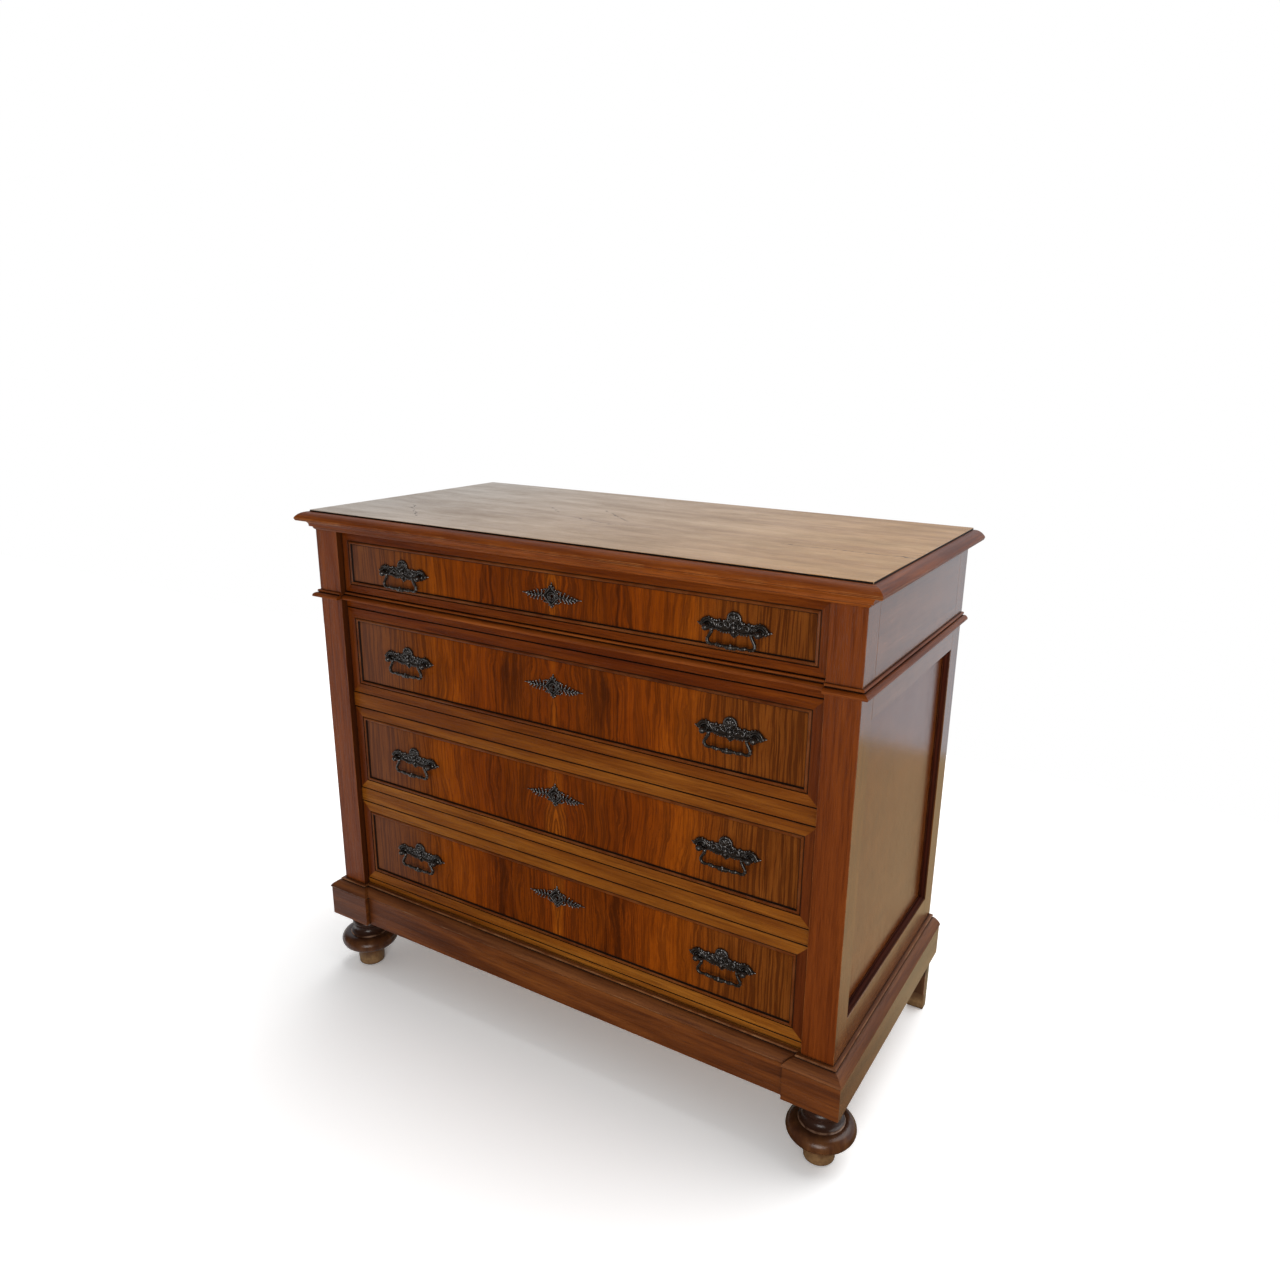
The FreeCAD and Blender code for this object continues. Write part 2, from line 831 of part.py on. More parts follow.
def bent_rod(points, bends, y, radius):
    """Round bar along straight runs joined by tangent arcs, at one depth."""
    corners = [Vector(x, y, z) for x, z in points]
    edges = []
    here = corners[0]
    for before, at, after, bend in zip(corners, corners[1:], corners[2:], bends):
        a = (before - at).normalize()
        b = (after - at).normalize()
        half = a.getAngle(b) / 2
        start = at + a * (bend / math.tan(half))
        end = at + b * (bend / math.tan(half))
        centre = at + (a + b).normalize() * (bend / math.sin(half))
        middle = centre + (at - centre).normalize() * bend
        edges.append(Part.LineSegment(here, start).toShape())
        edges.append(Part.Arc(start, middle, end).toShape())
        here = end
    edges.append(Part.LineSegment(here, corners[-1]).toShape())
    way = (corners[1] - corners[0]).normalize()
    circle = Part.Wire([Part.makeCircle(radius, corners[0], way)])
    return Part.Wire(edges).makePipeShell([circle], True, True)


def bail():
    """Hanging drop handle about its plate's centre, pins in both balls."""
    y = field_face - eye_stand
    z = -eye_drop
    half = [(eye_offset - pin_slack, z), (eye_offset - 11.5, z), (40.5, z - 17.5),
            (36.5, z - 25.5), (20.0, z - 26.5)]
    points = half + [(-px, pz) for px, pz in reversed(half)]
    bends = [4.0, 5.0, 4.0, 12.0]
    rod = bent_rod(points, bends + bends[::-1], y, bail_radius)
    knop = Part.makeSphere(4.2, Vector(0, y, z - 26.0))
    leaf = Part.makeCone(3.6, 2.4, 8.0, Vector(3, y, z - 26.3), Vector(1, 0, 0))
    return fuse_all([rod, knop, both(leaf)])


def build_handles(name, handle_z):
    plate = handle_plate()
    pieces = []
    for x in (-eye_offset, eye_offset):
        hole = shank(x, -eye_drop, shank_clearance)
        plate = plate.cut(hole)
        pieces.append(handle_post(x))
        half = nut_width / 2
        nut = block(x - half, x + half, front_back_face, front_back_face + nut_thickness,
                    -eye_drop - half, -eye_drop + half)
        pieces.append(nut.cut(hole))
    pieces.append(plate)
    fixed = []
    for sign, side in ((-1, "left"), (1, "right")):
        place = Vector(sign * handle_x, 0, handle_z)
        for piece in pieces:
            moved = piece.copy()
            moved.translate(place)
            fixed.append(moved)
        drop = bail()
        drop.translate(place)
        save(name + "_bail_" + side, [drop])
    save(name + "_handle_plates", fixed)


os.makedirs("parts", exist_ok=True)
build_top()
build_posts()
build_sides()
build_waist()
build_front_rails()
build_runners()
build_bottom_and_back()
build_plinth()
build_feet()
for drawer_index in range(len(drawer_heights)):
    build_drawer(drawer_index)
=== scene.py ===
import math

import bmesh
import bpy
from mathutils import Matrix, Vector


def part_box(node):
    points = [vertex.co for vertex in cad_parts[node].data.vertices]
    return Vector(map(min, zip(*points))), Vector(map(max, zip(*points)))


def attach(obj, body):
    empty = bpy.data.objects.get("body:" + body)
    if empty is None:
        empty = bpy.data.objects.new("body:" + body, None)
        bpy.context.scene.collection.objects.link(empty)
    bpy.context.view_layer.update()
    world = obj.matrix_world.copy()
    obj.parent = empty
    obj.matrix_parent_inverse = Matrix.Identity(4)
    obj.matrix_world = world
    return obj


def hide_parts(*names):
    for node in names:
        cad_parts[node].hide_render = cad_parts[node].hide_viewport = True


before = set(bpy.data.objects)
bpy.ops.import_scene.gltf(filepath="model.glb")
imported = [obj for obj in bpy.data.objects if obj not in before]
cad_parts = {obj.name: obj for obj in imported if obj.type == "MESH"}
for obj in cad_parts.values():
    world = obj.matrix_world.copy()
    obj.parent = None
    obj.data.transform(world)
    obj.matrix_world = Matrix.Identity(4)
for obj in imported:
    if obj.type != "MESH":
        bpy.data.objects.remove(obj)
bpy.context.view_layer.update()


# ---- front corner posts ----
# Two square walnut posts carry the front of the chest from the plinth to the top.
# Each is solid, with its grain upright, planed flat, its edges rubbed round by years of use.
# The rails are tenoned into them; the mouldings break round their faces.
MM = 0.001
POST_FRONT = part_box("front_posts")[0].y
HALF_WIDTH = 550.0
POST_INNER = 494.0
POST_DEPTH = 50.0
CASE_DEPTH = 528.0
PLINTH_LOW = 128.0
TOP_LOW = 975.0
ACROSS, DEPTHWISE, UPRIGHT = 0.0, 1.0, 2.0      # the way a board's grain runs
LIGHTLY_RUBBED, PAINTED_SHADE_MARK = 0.25, -0.6        # how a face is marked: 1 rubbed bare, -1 black with dirt and painted shade


def at(x, y, z):
    """A place in the chest, in millimetres: right of its middle, behind the posts' faces, above the floor."""
    return Vector((x * MM, POST_FRONT + y * MM, z * MM))


def new_work():
    work = bmesh.new()
    work.faces.layers.float.new("way")
    work.faces.layers.float.new("edge")
    return work


def mark(work, faces, way, finish=0, edge=None):
    """Writes on new faces the way of their grain, which finish they take and how their edge is marked:
    rubbed, or darkened with dirt and painted shade.
    """
    for face in faces:
        face[work.faces.layers.float["way"]] = way
        face.material_index = finish
        if edge is not None:
            face[work.faces.layers.float["edge"]] = edge


def block(work, low, high):
    """A plain block between two corners."""
    a, b = at(*low), at(*high)
    place = Matrix.Translation((a + b) / 2) @ Matrix.Diagonal((*(b - a), 1.0))
    return bmesh.ops.create_cube(work, size=1.0, matrix=place)["verts"]


def board(work, low, high, way, soften=0.8, rims=1.0, sides=0.0):
    """A planed board between two corners, its edges softened. rims and sides mark its edges and
    its upright faces: 1 rubbed, -1 darkened with dirt and painted shade."""
    before = set(work.faces)
    edges = list({e for v in block(work, low, high) for e in v.link_edges})
    eased = bmesh.ops.bevel(work, geom=edges, offset=soften * MM, offset_type="OFFSET", segments=2,
                            profile=0.5, affect="EDGES", clamp_overlap=True, material=-1)
    fresh = [f for f in work.faces if f not in before]
    mark(work, fresh, way)
    mark(work, [f for f in fresh if abs(f.normal.z) < 0.5], way, 0, sides)
    mark(work, eased["faces"], way, 0, rims)


def side_faces(work, beyond=0.0, within=1000.0):
    """The faces that look sideways and lie between two distances from the middle of the chest."""
    return [f for f in work.faces if abs(f.normal.x) > 0.9
            and beyond * MM < abs(f.calc_center_median().x) < within * MM]


def as_mesh(name, work):
    mesh = bpy.data.meshes.new(name)
    work.to_mesh(mesh)
    work.free()
    return mesh


def as_object(name, work):
    made = bpy.data.objects.new(name, as_mesh(name, work))
    bpy.context.scene.collection.objects.link(made)
    return made


def piece(name, work, *finishes, smooth_below=20.0):
    """Turns finished work into an object at the origin, with its finishes. Edges that bend less
    than smooth_below degrees are shaded smooth."""
    bmesh.ops.recalc_face_normals(work, faces=work.faces)
    for edge in work.edges:
        edge.smooth = edge.calc_face_angle(0.0) < math.radians(smooth_below)
    for face in work.faces:
        face.smooth = True
    made = as_object(name, work)
    for finish in finishes:
        made.data.materials.append(finish)
    return made


def put(tree, kind, *inputs, **settings):
    """A shader node with its settings; its inputs are given in order, None leaving one as it is."""
    made = tree.nodes.new("ShaderNode" + kind)
    for key, value in settings.items():
        setattr(made, key, value)
    for socket, value in zip(made.inputs, inputs):
        if isinstance(value, bpy.types.NodeSocket):
            tree.links.new(value, socket)
        elif value is not None:
            socket.default_value = value
    return made


def math_of(tree, operation, *inputs):
    return put(tree, "Math", *inputs, operation=operation).outputs[0]


def times(tree, a, b):
    return math_of(tree, "MULTIPLY", a, b)


def plus(tree, a, b):
    return math_of(tree, "ADD", a, b)


def less(tree, a, b):
    return math_of(tree, "SUBTRACT", a, b)


def vectors(tree, operation, *inputs, gives=0):
    return put(tree, "VectorMath", *inputs, operation=operation).outputs[gives]


def stretched(tree, vector, x, y, z):
    return vectors(tree, "MULTIPLY", vector, (x, y, z))


def noise(tree, vector, scale, detail=3.0, roughness=0.55, warp=0.0):
    made = put(tree, "TexNoise", vector, None, scale, detail, roughness)
    made.inputs["Distortion"].default_value = warp
    return made.outputs[0]


def spread(tree, value, low, high, to_low=0.0, to_high=1.0):
    return put(tree, "MapRange", value, low, high, to_low, to_high).outputs[0]


def ramp(tree, factor, stops):
    """Colours along a scale from 0 to 1, as (place, colour) stops."""
    made = put(tree, "ValToRGB", factor)
    band = made.color_ramp.elements
    for element, (place, colour) in ((band[0], stops[0]), (band[-1], stops[-1])):
        element.position = place
        element.color = (*colour, 1.0)
    for place, colour in stops[1:-1]:
        band.new(place).color = (*colour, 1.0)
    return made.outputs[0]


def blended(tree, factor, a, b, how="MIX"):
    """Mixes two colours; each is a colour or another node's output."""
    made = put(tree, "Mix", factor, data_type="RGBA", blend_type=how)
    for socket, value in ((made.inputs[6], a), (made.inputs[7], b)):
        if isinstance(value, bpy.types.NodeSocket):
            tree.links.new(value, socket)
        else:
            socket.default_value = (*value, 1.0)
    return made.outputs[2]


def stained(tree, colour, mask, strength, tint):
    """A colour with another laid over it where a mask shows."""
    return blended(tree, times(tree, mask, strength), colour, tint)


def new_group(name, inputs, outputs):
    """An empty node group with named sockets, and its own input and output sockets."""
    tree = bpy.data.node_groups.new(name, "ShaderNodeTree")
    for label, kind, value in inputs:
        socket = tree.interface.new_socket(name=label, in_out="INPUT", socket_type="NodeSocket" + kind)
        if value is not None:
            socket.default_value = value
    for label, kind in outputs:
        tree.interface.new_socket(name=label, in_out="OUTPUT", socket_type="NodeSocket" + kind)
    return tree, tree.nodes.new("NodeGroupInput").outputs, tree.nodes.new("NodeGroupOutput").inputs


def turned_to_grain():
    """Group: turns a place so that its first axis runs along the grain."""
    tree, source, result = new_group("turned_to_grain", [("Place", "Vector", None), ("Way", "Float", 0.0)],
                                     [("Along", "Vector")])
    x, y, z = put(tree, "SeparateXYZ", source[0]).outputs
    deep = put(tree, "CombineXYZ", y, x, z).outputs[0]
    tall = put(tree, "CombineXYZ", z, x, y).outputs[0]
    vector = source[0]
    for way, turned in ((DEPTHWISE, deep), (UPRIGHT, tall)):
        chosen = math_of(tree, "COMPARE", source[1], way, 0.25)
        mixed = put(tree, "Mix", chosen, data_type="VECTOR")
        tree.links.new(vector, mixed.inputs[4])
        tree.links.new(turned, mixed.inputs[5])
        vector = mixed.outputs[1]
    tree.links.new(vector, result[0])
    return tree


def grown_grain():
    """Group: the broad figure, fine streaks and open pores of a board whose grain runs along x."""
    tree, source, result = new_group("grown_grain", [("Along", "Vector", None), ("Width", "Float", 1.0)],
                                     [("Figure", "Float"), ("Streaks", "Float"), ("Pores", "Float")])
    wide = vectors(tree, "SCALE", source[0], None, None, source[1])
    drift = noise(tree, stretched(tree, wide, 1.4, 14.0, 14.0), 1.0, 4.0, 0.55, 0.8)
    rings = put(tree, "TexWave", stretched(tree, wide, 0.10, 1.0, 1.0), 14.0, 5.0, 3.0, 2.2, 0.6,
                wave_type="BANDS", bands_direction="DIAGONAL", wave_profile="SIN").outputs[1]
    figure = plus(tree, times(tree, drift, 0.86), times(tree, rings, 0.14))
    streaks = noise(tree, stretched(tree, source[0], 7.0, 210.0, 210.0), 1.0, 4.0, 0.72, 0.2)
    pores = noise(tree, stretched(tree, source[0], 26.0, 760.0, 760.0), 1.0, 2.0, 0.6)
    tree.links.new(figure, result[0])
    tree.links.new(spread(tree, streaks, 0.34, 0.66), result[1])
    tree.links.new(spread(tree, pores, 0.56, 0.66), result[2])
    return tree


def wear_dirt_and_shade():
    """Group: where edges are rubbed pale, and where corners and quirks are darkened with dirt and with
    painted shade from ambient occlusion.
    """
    tree, source, result = new_group("wear_dirt_and_shade", [("Place", "Vector", None), ("Reach", "Float", 0.006)],
                                     [("Worn", "Float"), ("DirtAndShade", "Float")])
    edge = put(tree, "Attribute", attribute_name="edge").outputs["Fac"]
    patches = noise(tree, source[0], 28.0, 4.0, 0.6)
    worn = times(tree, math_of(tree, "MAXIMUM", edge, 0.0), spread(tree, patches, 0.42, 0.66))
    # painted shade: ambient occlusion darkens corners and quirks, mixed with patches of dirt
    open_air = put(tree, "AmbientOcclusion", None, source[1], samples=6, only_local=False).outputs["AO"]
    closed = spread(tree, open_air, 0.85, 0.38)
    grime_and_shade = times(tree, closed, spread(tree, patches, 0.2, 0.6, 0.7, 1.0))
    dirt_and_shade = math_of(tree, "MAXIMUM", grime_and_shade, times(tree, edge, -1.0))
    tree.links.new(worn, result[0])
    tree.links.new(dirt_and_shade, result[1])
    return tree


grain_turn = turned_to_grain()
grain = grown_grain()
wear_and_shade_group = wear_dirt_and_shade()


def grain_of(tree, place, way, width=1.0):
    """The figure, streaks and pores of wood whose grain runs that way."""
    along = put(tree, "Group", place, way, node_tree=grain_turn).outputs[0]
    return put(tree, "Group", along, width, node_tree=grain).outputs


def finished(tree, colour, roughness, height, depth, gloss=0.5, relief=0.6, metallic=None, coat=None):
    """Ends a material: its shader, with colour, sheen and the height of its surface. depth is the
    height's full range in metres, coat the weight and roughness of a clear layer."""
    bump = put(tree, "Bump", relief, depth)
    tree.links.new(height, bump.inputs["Height"])
    shader = put(tree, "BsdfPrincipled")
    shader.inputs["Specular IOR Level"].default_value = gloss
    if coat is not None:
        shader.inputs["Coat Weight"].default_value = coat[0]
        shader.inputs["Coat Roughness"].default_value = coat[1]
    if metallic is not None:
        tree.links.new(metallic, shader.inputs["Metallic"])
    tree.links.new(colour, shader.inputs["Base Color"])
    tree.links.new(roughness, shader.inputs["Roughness"])
    tree.links.new(bump.outputs[0], shader.inputs["Normal"])
    tree.links.new(shader.outputs[0], put(tree, "OutputMaterial").inputs[0])


def new_finish(name):
    """An empty material, its node tree and the place on the object."""
    made = bpy.data.materials.new(name)
    made.use_nodes = True
    made.node_tree.nodes.clear()
    return made, made.node_tree, put(made.node_tree, "TexCoord").outputs["Object"]


def plain_wood(name, dark, middle, light, worn_colour, dirt_and_shade_colour, way=None, shine=0.3, width=1.0,
               grain_depth=0.0003, pore_share=0.5, gloss=0.4, painted_shade_above=None, reach=0.006):
    """Solid wood: figure, streaks and pores along the grain, worn edges, corners darkened with dirt and
    painted shade. shine is its roughness, width how broad its figure is, reach how far that darkening spreads
    out of a corner. painted_shade_above, as (low, high, colour), paints shade: it tints it from the one
    height above the floor to the other."""
    made, tree, place = new_finish(name)
    way = put(tree, "Attribute", attribute_name="way").outputs["Fac"] if way is None else way
    figure, streaks, pores = grain_of(tree, place, way, width)
    colour = ramp(tree, figure, [(0.28, dark), (0.48, middle), (0.72, light)])
    shade = ramp(tree, streaks, [(0.0, (0.60, 0.54, 0.50)), (0.5, (1.0, 1.0, 1.0)),
                                 (1.0, (1.22, 1.26, 1.28))])
    colour = blended(tree, 0.85, colour, shade, "MULTIPLY")
    colour = stained(tree, colour, pores, pore_share, dark)
    # painted shade: the colour is tinted more and more between the two heights
    if painted_shade_above:
        height = put(tree, "SeparateXYZ", place).outputs[2]
        colour = blended(tree, spread(tree, height, painted_shade_above[0], painted_shade_above[1]), colour,
                         blended(tree, 1.0, colour, painted_shade_above[2], "MULTIPLY"))
    worn, dirt_and_shade = put(tree, "Group", place, reach, node_tree=wear_and_shade_group).outputs
    colour = stained(tree, colour, worn, 0.8, worn_colour)
    # dirt and painted shade darken its corners
    colour = stained(tree, colour, dirt_and_shade, 0.95, dirt_and_shade_colour)
    rough = plus(tree, spread(tree, figure, 0.0, 1.0, shine + 0.06, shine - 0.06), times(tree, dirt_and_shade, 0.2))
    finished(tree, colour, rough, less(tree, streaks, pores), grain_depth, gloss)
    return made


WALNUT_DARK = (0.088, 0.0160, 0.0016)
WALNUT_MIDDLE = (0.120, 0.0240, 0.0022)
WALNUT_LIGHT = (0.150, 0.0330, 0.0036)
WALNUT_WORN = (0.28, 0.105, 0.030)
DIRT_AND_SHADE = (0.008, 0.0035, 0.002)
walnut = plain_wood("walnut", WALNUT_DARK, WALNUT_MIDDLE, WALNUT_LIGHT, WALNUT_WORN, DIRT_AND_SHADE, gloss=0.13)
side_walnut = plain_wood("side_walnut", (0.100, 0.030, 0.0050), (0.118, 0.036, 0.0060),
                         (0.138, 0.043, 0.0080), WALNUT_WORN, DIRT_AND_SHADE, shine=0.16, grain_depth=0.00005,
                         pore_share=0.1, gloss=0.5)

work = new_work()
for side in (-1, 1):
    inner, outer = sorted((side * POST_INNER, side * HALF_WIDTH))
    board(work, (inner, 0.0, PLINTH_LOW), (outer, POST_DEPTH, TOP_LOW), UPRIGHT)
post_middle = (POST_INNER + HALF_WIDTH) / 2
mark(work, side_faces(work, beyond=post_middle), UPRIGHT, 1, LIGHTLY_RUBBED)
# the posts' inner faces are darkened with painted shade, where the rails and drawers stand back from them
mark(work, side_faces(work, within=post_middle), UPRIGHT, 0, PAINTED_SHADE_MARK)
front_posts = piece("front_corner_posts", work, walnut, side_walnut)
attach(front_posts, "carcase")
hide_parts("front_posts")


# ---- rear posts ----
# Two slimmer walnut posts at the back, with their outer faces level with the front posts.
# They stand on the rear feet inside the plinth, and are rebated for the back boards.
SIDE_INNER = 516.0
REAR_FRONT = 480.0
FASCIA_TOP = 190.0
BACK_FACE = 514.0
REBATE_EDGE = 525.7

work = new_work()
for side in (-1, 1):
    inner, edge, outer = (side * x for x in (SIDE_INNER, REBATE_EDGE, HALF_WIDTH))
    for x0, x1, y1 in ((inner, edge, BACK_FACE), (edge, outer, CASE_DEPTH)):
        board(work, (min(x0, x1), REAR_FRONT, FASCIA_TOP), (max(x0, x1), y1, TOP_LOW), UPRIGHT, soften=0.6)
rear_posts = piece("rear_corner_posts", work, side_walnut)
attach(rear_posts, "carcase")
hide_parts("rear_posts")


# ---- side rails ----
# Each side is a frame: a bottom rail, a middle rail and a deep frieze board between the posts.
# They are walnut, tenoned into both posts and flush with their outer faces.
WAIST = 840.0
PANEL_LOW = 267.5
PANEL_HIGH = 779.0

work = new_work()
for side in (-1, 1):
    inner, outer = sorted((side * SIDE_INNER, side * HALF_WIDTH))
    for low, high in ((PLINTH_LOW, PANEL_LOW), (PANEL_HIGH, WAIST), (WAIST, TOP_LOW)):
        board(work, (inner, POST_DEPTH, low), (outer, REAR_FRONT, high), DEPTHWISE, soften=0.5,
              sides=LIGHTLY_RUBBED)
side_rails = piece("side_frame_rails", work, side_walnut)
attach(side_rails, "carcase")
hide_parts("side_rails")


# ---- side panels ----
# A thin veneered panel fills each side frame, deep behind the frame's face.
# Its upright figure is quiet, with a few darker flames, under old wax.
PANEL_FACE = 538.0
PANEL_THICK = 10.0
PANEL_TONGUE = 8.0


def greys(stops):
    return [(place, (value, value, value)) for place, value in stops]


def flamed_veneer(name, tones, flames, lines, spacing, shine=0.3, gloss=0.5, grain_depth=0.0002,
                  painted_sheen=None):
    """Veneer with upright figure, opened like a book about the piece's middle. tones are its colours
    from the middle outwards, as (share of spacing, colour); flames and lines say where the dark
    tapering flames and the fine dark lines show, as (share of spacing, strength). painted_sheen, as
    (from x, to x, colour, strength), is a painted sheen that greys the veneer towards one end."""
    made, tree, place = new_finish(name)
    x, y, z = put(tree, "SeparateXYZ", place).outputs
    out = math_of(tree, "ABSOLUTE", x)
    leaf = put(tree, "CombineXYZ", out, y, z).outputs[0]
    sway = noise(tree, stretched(tree, leaf, 4.0, 1.0, 3.0), 1.0, 3.0, 0.5, 0.4)
    crook = noise(tree, stretched(tree, leaf, 24.0, 1.0, 8.0), 1.0, 4.0, 0.6, 0.6)
    wild = plus(tree, times(tree, less(tree, sway, 0.5), 0.09), times(tree, less(tree, crook, 0.5), 0.024))
    calm = spread(tree, out, 0.26, 0.34, 1.0, 0.25)
    bent = plus(tree, out, times(tree, wild, calm))
    share = math_of(tree, "DIVIDE", bent, spacing)
    colour = ramp(tree, share, tones)
    patches = noise(tree, stretched(tree, leaf, 20.0, 1.0, 9.0), 1.0, 4.0, 0.6, 0.8)
    colour = blended(tree, 0.75, colour, ramp(tree, patches, [
        (0.3, (0.72, 0.66, 0.6)), (0.5, (0.98, 0.96, 0.94)), (0.7, (1.22, 1.28, 1.3))]), "MULTIPLY")
    bent_leaf = put(tree, "CombineXYZ", bent, y, z).outputs[0]
    strokes = noise(tree, stretched(tree, bent_leaf, 62.0, 1.0, 5.0), 1.0, 3.0, 0.6, 0.5)
    shown = times(tree, spread(tree, strokes, 0.48, 0.64), ramp(tree, share, greys(flames)))
    colour = blended(tree, shown, colour, (0.030, 0.0065, 0.0015))
    fine = noise(tree, stretched(tree, bent_leaf, 260.0, 1.0, 6.0), 1.0, 3.0, 0.6, 0.2)
    shown = times(tree, spread(tree, fine, 0.49, 0.55), ramp(tree, share, greys(lines)))
    colour = stained(tree, colour, shown, 0.8, (0.040, 0.009, 0.002))
    figure, streaks, pores = grain_of(tree, place, UPRIGHT)
    shade = ramp(tree, streaks, [(0.0, (0.74, 0.70, 0.68)), (0.5, (1.0, 1.0, 1.0)), (1.0, (1.1, 1.1, 1.1))])
    colour = blended(tree, 0.8, colour, shade, "MULTIPLY")
    colour = stained(tree, colour, pores, 0.6, WALNUT_DARK)
    # painted sheen: the veneer is greyed towards one end
    if painted_sheen:
        start, end, grey, strength = painted_sheen
        colour = blended(tree, spread(tree, x, start, end, 0.0, strength), colour, grey)
    worn, dirt_and_shade = put(tree, "Group", place, 0.008, node_tree=wear_and_shade_group).outputs
    colour = stained(tree, colour, worn, 0.6, WALNUT_WORN)
    # dirt and painted shade darken its corners
    colour = stained(tree, colour, dirt_and_shade, 0.85, DIRT_AND_SHADE)
    rough = spread(tree, figure, 0.0, 1.0, shine + 0.05, shine - 0.04)
    finished(tree, colour, rough, less(tree, streaks, pores), grain_depth, gloss)
    return made


side_veneer = flamed_veneer(
    "side_panel_veneer",
    [(0.0, (0.14, 0.034, 0.0045)), (1.0, (0.14, 0.034, 0.0045))],
    [(0.0, 0.08), (1.0, 0.08)], [(0.0, 0.25), (1.0, 0.25)], 0.5, shine=0.17, grain_depth=0.00005)

work = new_work()
for side in (-1, 1):
    inner, outer = sorted((side * (PANEL_FACE - PANEL_THICK), side * PANEL_FACE))
    board(work, (inner, POST_DEPTH - PANEL_TONGUE, PANEL_LOW - PANEL_TONGUE),
          (outer, REAR_FRONT + PANEL_TONGUE, PANEL_HIGH + PANEL_TONGUE), UPRIGHT, soften=0.4,
          sides=LIGHTLY_RUBBED)
side_panels = piece("side_panels_veneered", work, side_veneer)
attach(side_panels, "carcase")
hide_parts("side_panels")


# ---- side panel mouldings ----
# Four mitred lengths of small walnut moulding are pinned round each side panel.
# A flat lip, a hollow and a small step lead from the frame down to the panel.
ARC_STEPS = 7
CORNER_EASE = 0.35
SHARP_CORNER = math.radians(22.0)       # a bend below this belongs to a curve


def drawn(start, steps):
    """An outline from (across, up) steps: two numbers are a straight line to a point,
    four an arc through the first point to the second."""
    points = [Vector(start)]
    for step in steps:
        here, there = points[-1], Vector(step[-2:])
        if len(step) == 4:
            by = Vector(step[:2])
            a, b = by - here, there - here
            cross = 2.0 * (a.x * b.y - a.y * b.x)
            centre = here + Vector((b.y * a.length_squared - a.y * b.length_squared,
                                    a.x * b.length_squared - b.x * a.length_squared)) / cross
            first = math.atan2(here.y - centre.y, here.x - centre.x)
            sweep = math.atan2(there.y - centre.y, there.x - centre.x) - first
            sweep = sweep % math.tau if cross > 0 else -((-sweep) % math.tau)
            radius = (here - centre).length
            for i in range(1, ARC_STEPS):
                turn = first + sweep * i / ARC_STEPS
                points.append(centre + radius * Vector((math.cos(turn), math.sin(turn))))
        points.append(there)
    return points


def eased_line(points, proud_mark):
    """The outline with its sharp corners eased, as (point, mark of the line that leaves it):
    proud_mark on a proud corner, -1 in a hollow one, darkened with dirt and painted shade."""
    area = sum(a.x * b.y - b.x * a.y for a, b in zip(points, points[1:] + points[:1]))
    line = []
    for before, here, after in zip(points[-1:] + points[:-1], points, points[1:] + points[:1]):
        a, b = here - before, after - here
        turn = a.angle_signed(b)
        if abs(turn) < SHARP_CORNER:
            line.append((here, 0.0))
            continue
        ease = min(CORNER_EASE, a.length / 3, b.length / 3)
        proud = (turn < 0) == (area > 0)
        line.append((here - a.normalized() * ease, proud_mark if proud else -1.0))
        line.append((here + b.normalized() * ease, 0.0))
    return line


def moulding(work, outline, corners, up, closed=False, proud_mark=1.0, grime_and_shade=(1.0, 0.0)):
    """Mitred lengths of one moulding along straight runs between corners. The outline's across
    axis points to the right of the run as seen from the tip of up. Dirt and painted shade darken its lines
    whose both ends lie across between the two numbers of grime_and_shade. proud_mark marks its proud corners:
    above 0 rubbed, below 0 darkened as painted shade."""
    line = eased_line(outline, proud_mark)
    ends = [p for p, _ in line[1:] + line[:1]]
    line = [(p, -1.0 if grime_and_shade[0] <= min(p.x, q.x) and max(p.x, q.x) <= grime_and_shade[1] else edge_mark)
            for (p, edge_mark), q in zip(line, ends)]
    count = len(corners)
    runs = [(i, (i + 1) % count) for i in range(count if closed else count - 1)]
    outs = [(corners[j] - corners[i]).normalized().cross(up) for i, j in runs]
    for number, (i, j) in enumerate(runs):
        before = outs[number - 1] if closed or number else outs[number]
        after = outs[(number + 1) % len(outs)] if closed or number < len(outs) - 1 else outs[number]
        out = outs[number]
        first = (out + before) / (1.0 + out.dot(before))
        last = (out + after) / (1.0 + out.dot(after))
        way = (corners[j] - corners[i]).normalized()
        old = set(work.faces)
        start = [work.verts.new(corners[i] + (first * p.x + up * p.y) * MM) for p, _ in line]
        cap = work.faces.new(start)
        made = bmesh.ops.extrude_face_region(work, geom=[cap])["geom"]
        for vert in [v for v in made if isinstance(v, bmesh.types.BMVert)]:
            reach = vert.co - corners[i]
            across = reach.dot(out)
            vert.co = corners[j] + last * across + up * reach.dot(up)
        fresh = [f for f in work.faces if f not in old]
        axis = max(range(3), key=lambda k: abs(way[k]))
        mark(work, fresh, float(axis))
        for k, (_, edge_mark) in enumerate(line):
            pair = {start[k], start[(k + 1) % len(start)]}
            for face in start[k].link_faces:
                if face is not cap and pair <= set(face.verts):
                    face[work.faces.layers.float["edge"]] = edge_mark


work = new_work()
outline = drawn((0.0, 0.0), [
    (0.0, 10.0), (2.0, 10.0), (3.0, 8.0), (5.8, 6.6, 6.4, 2.4), (8.0, 1.6), (8.0, 0.0)])
for side in (-1, 1):
    front, rear = (POST_DEPTH, REAR_FRONT)[::side]
    corners = [at(side * PANEL_FACE, y, z) for y, z in (
        (front, PANEL_LOW), (front, PANEL_HIGH), (rear, PANEL_HIGH), (rear, PANEL_LOW))]
    moulding(work, outline, corners, Vector((side, 0.0, 0.0)), closed=True)
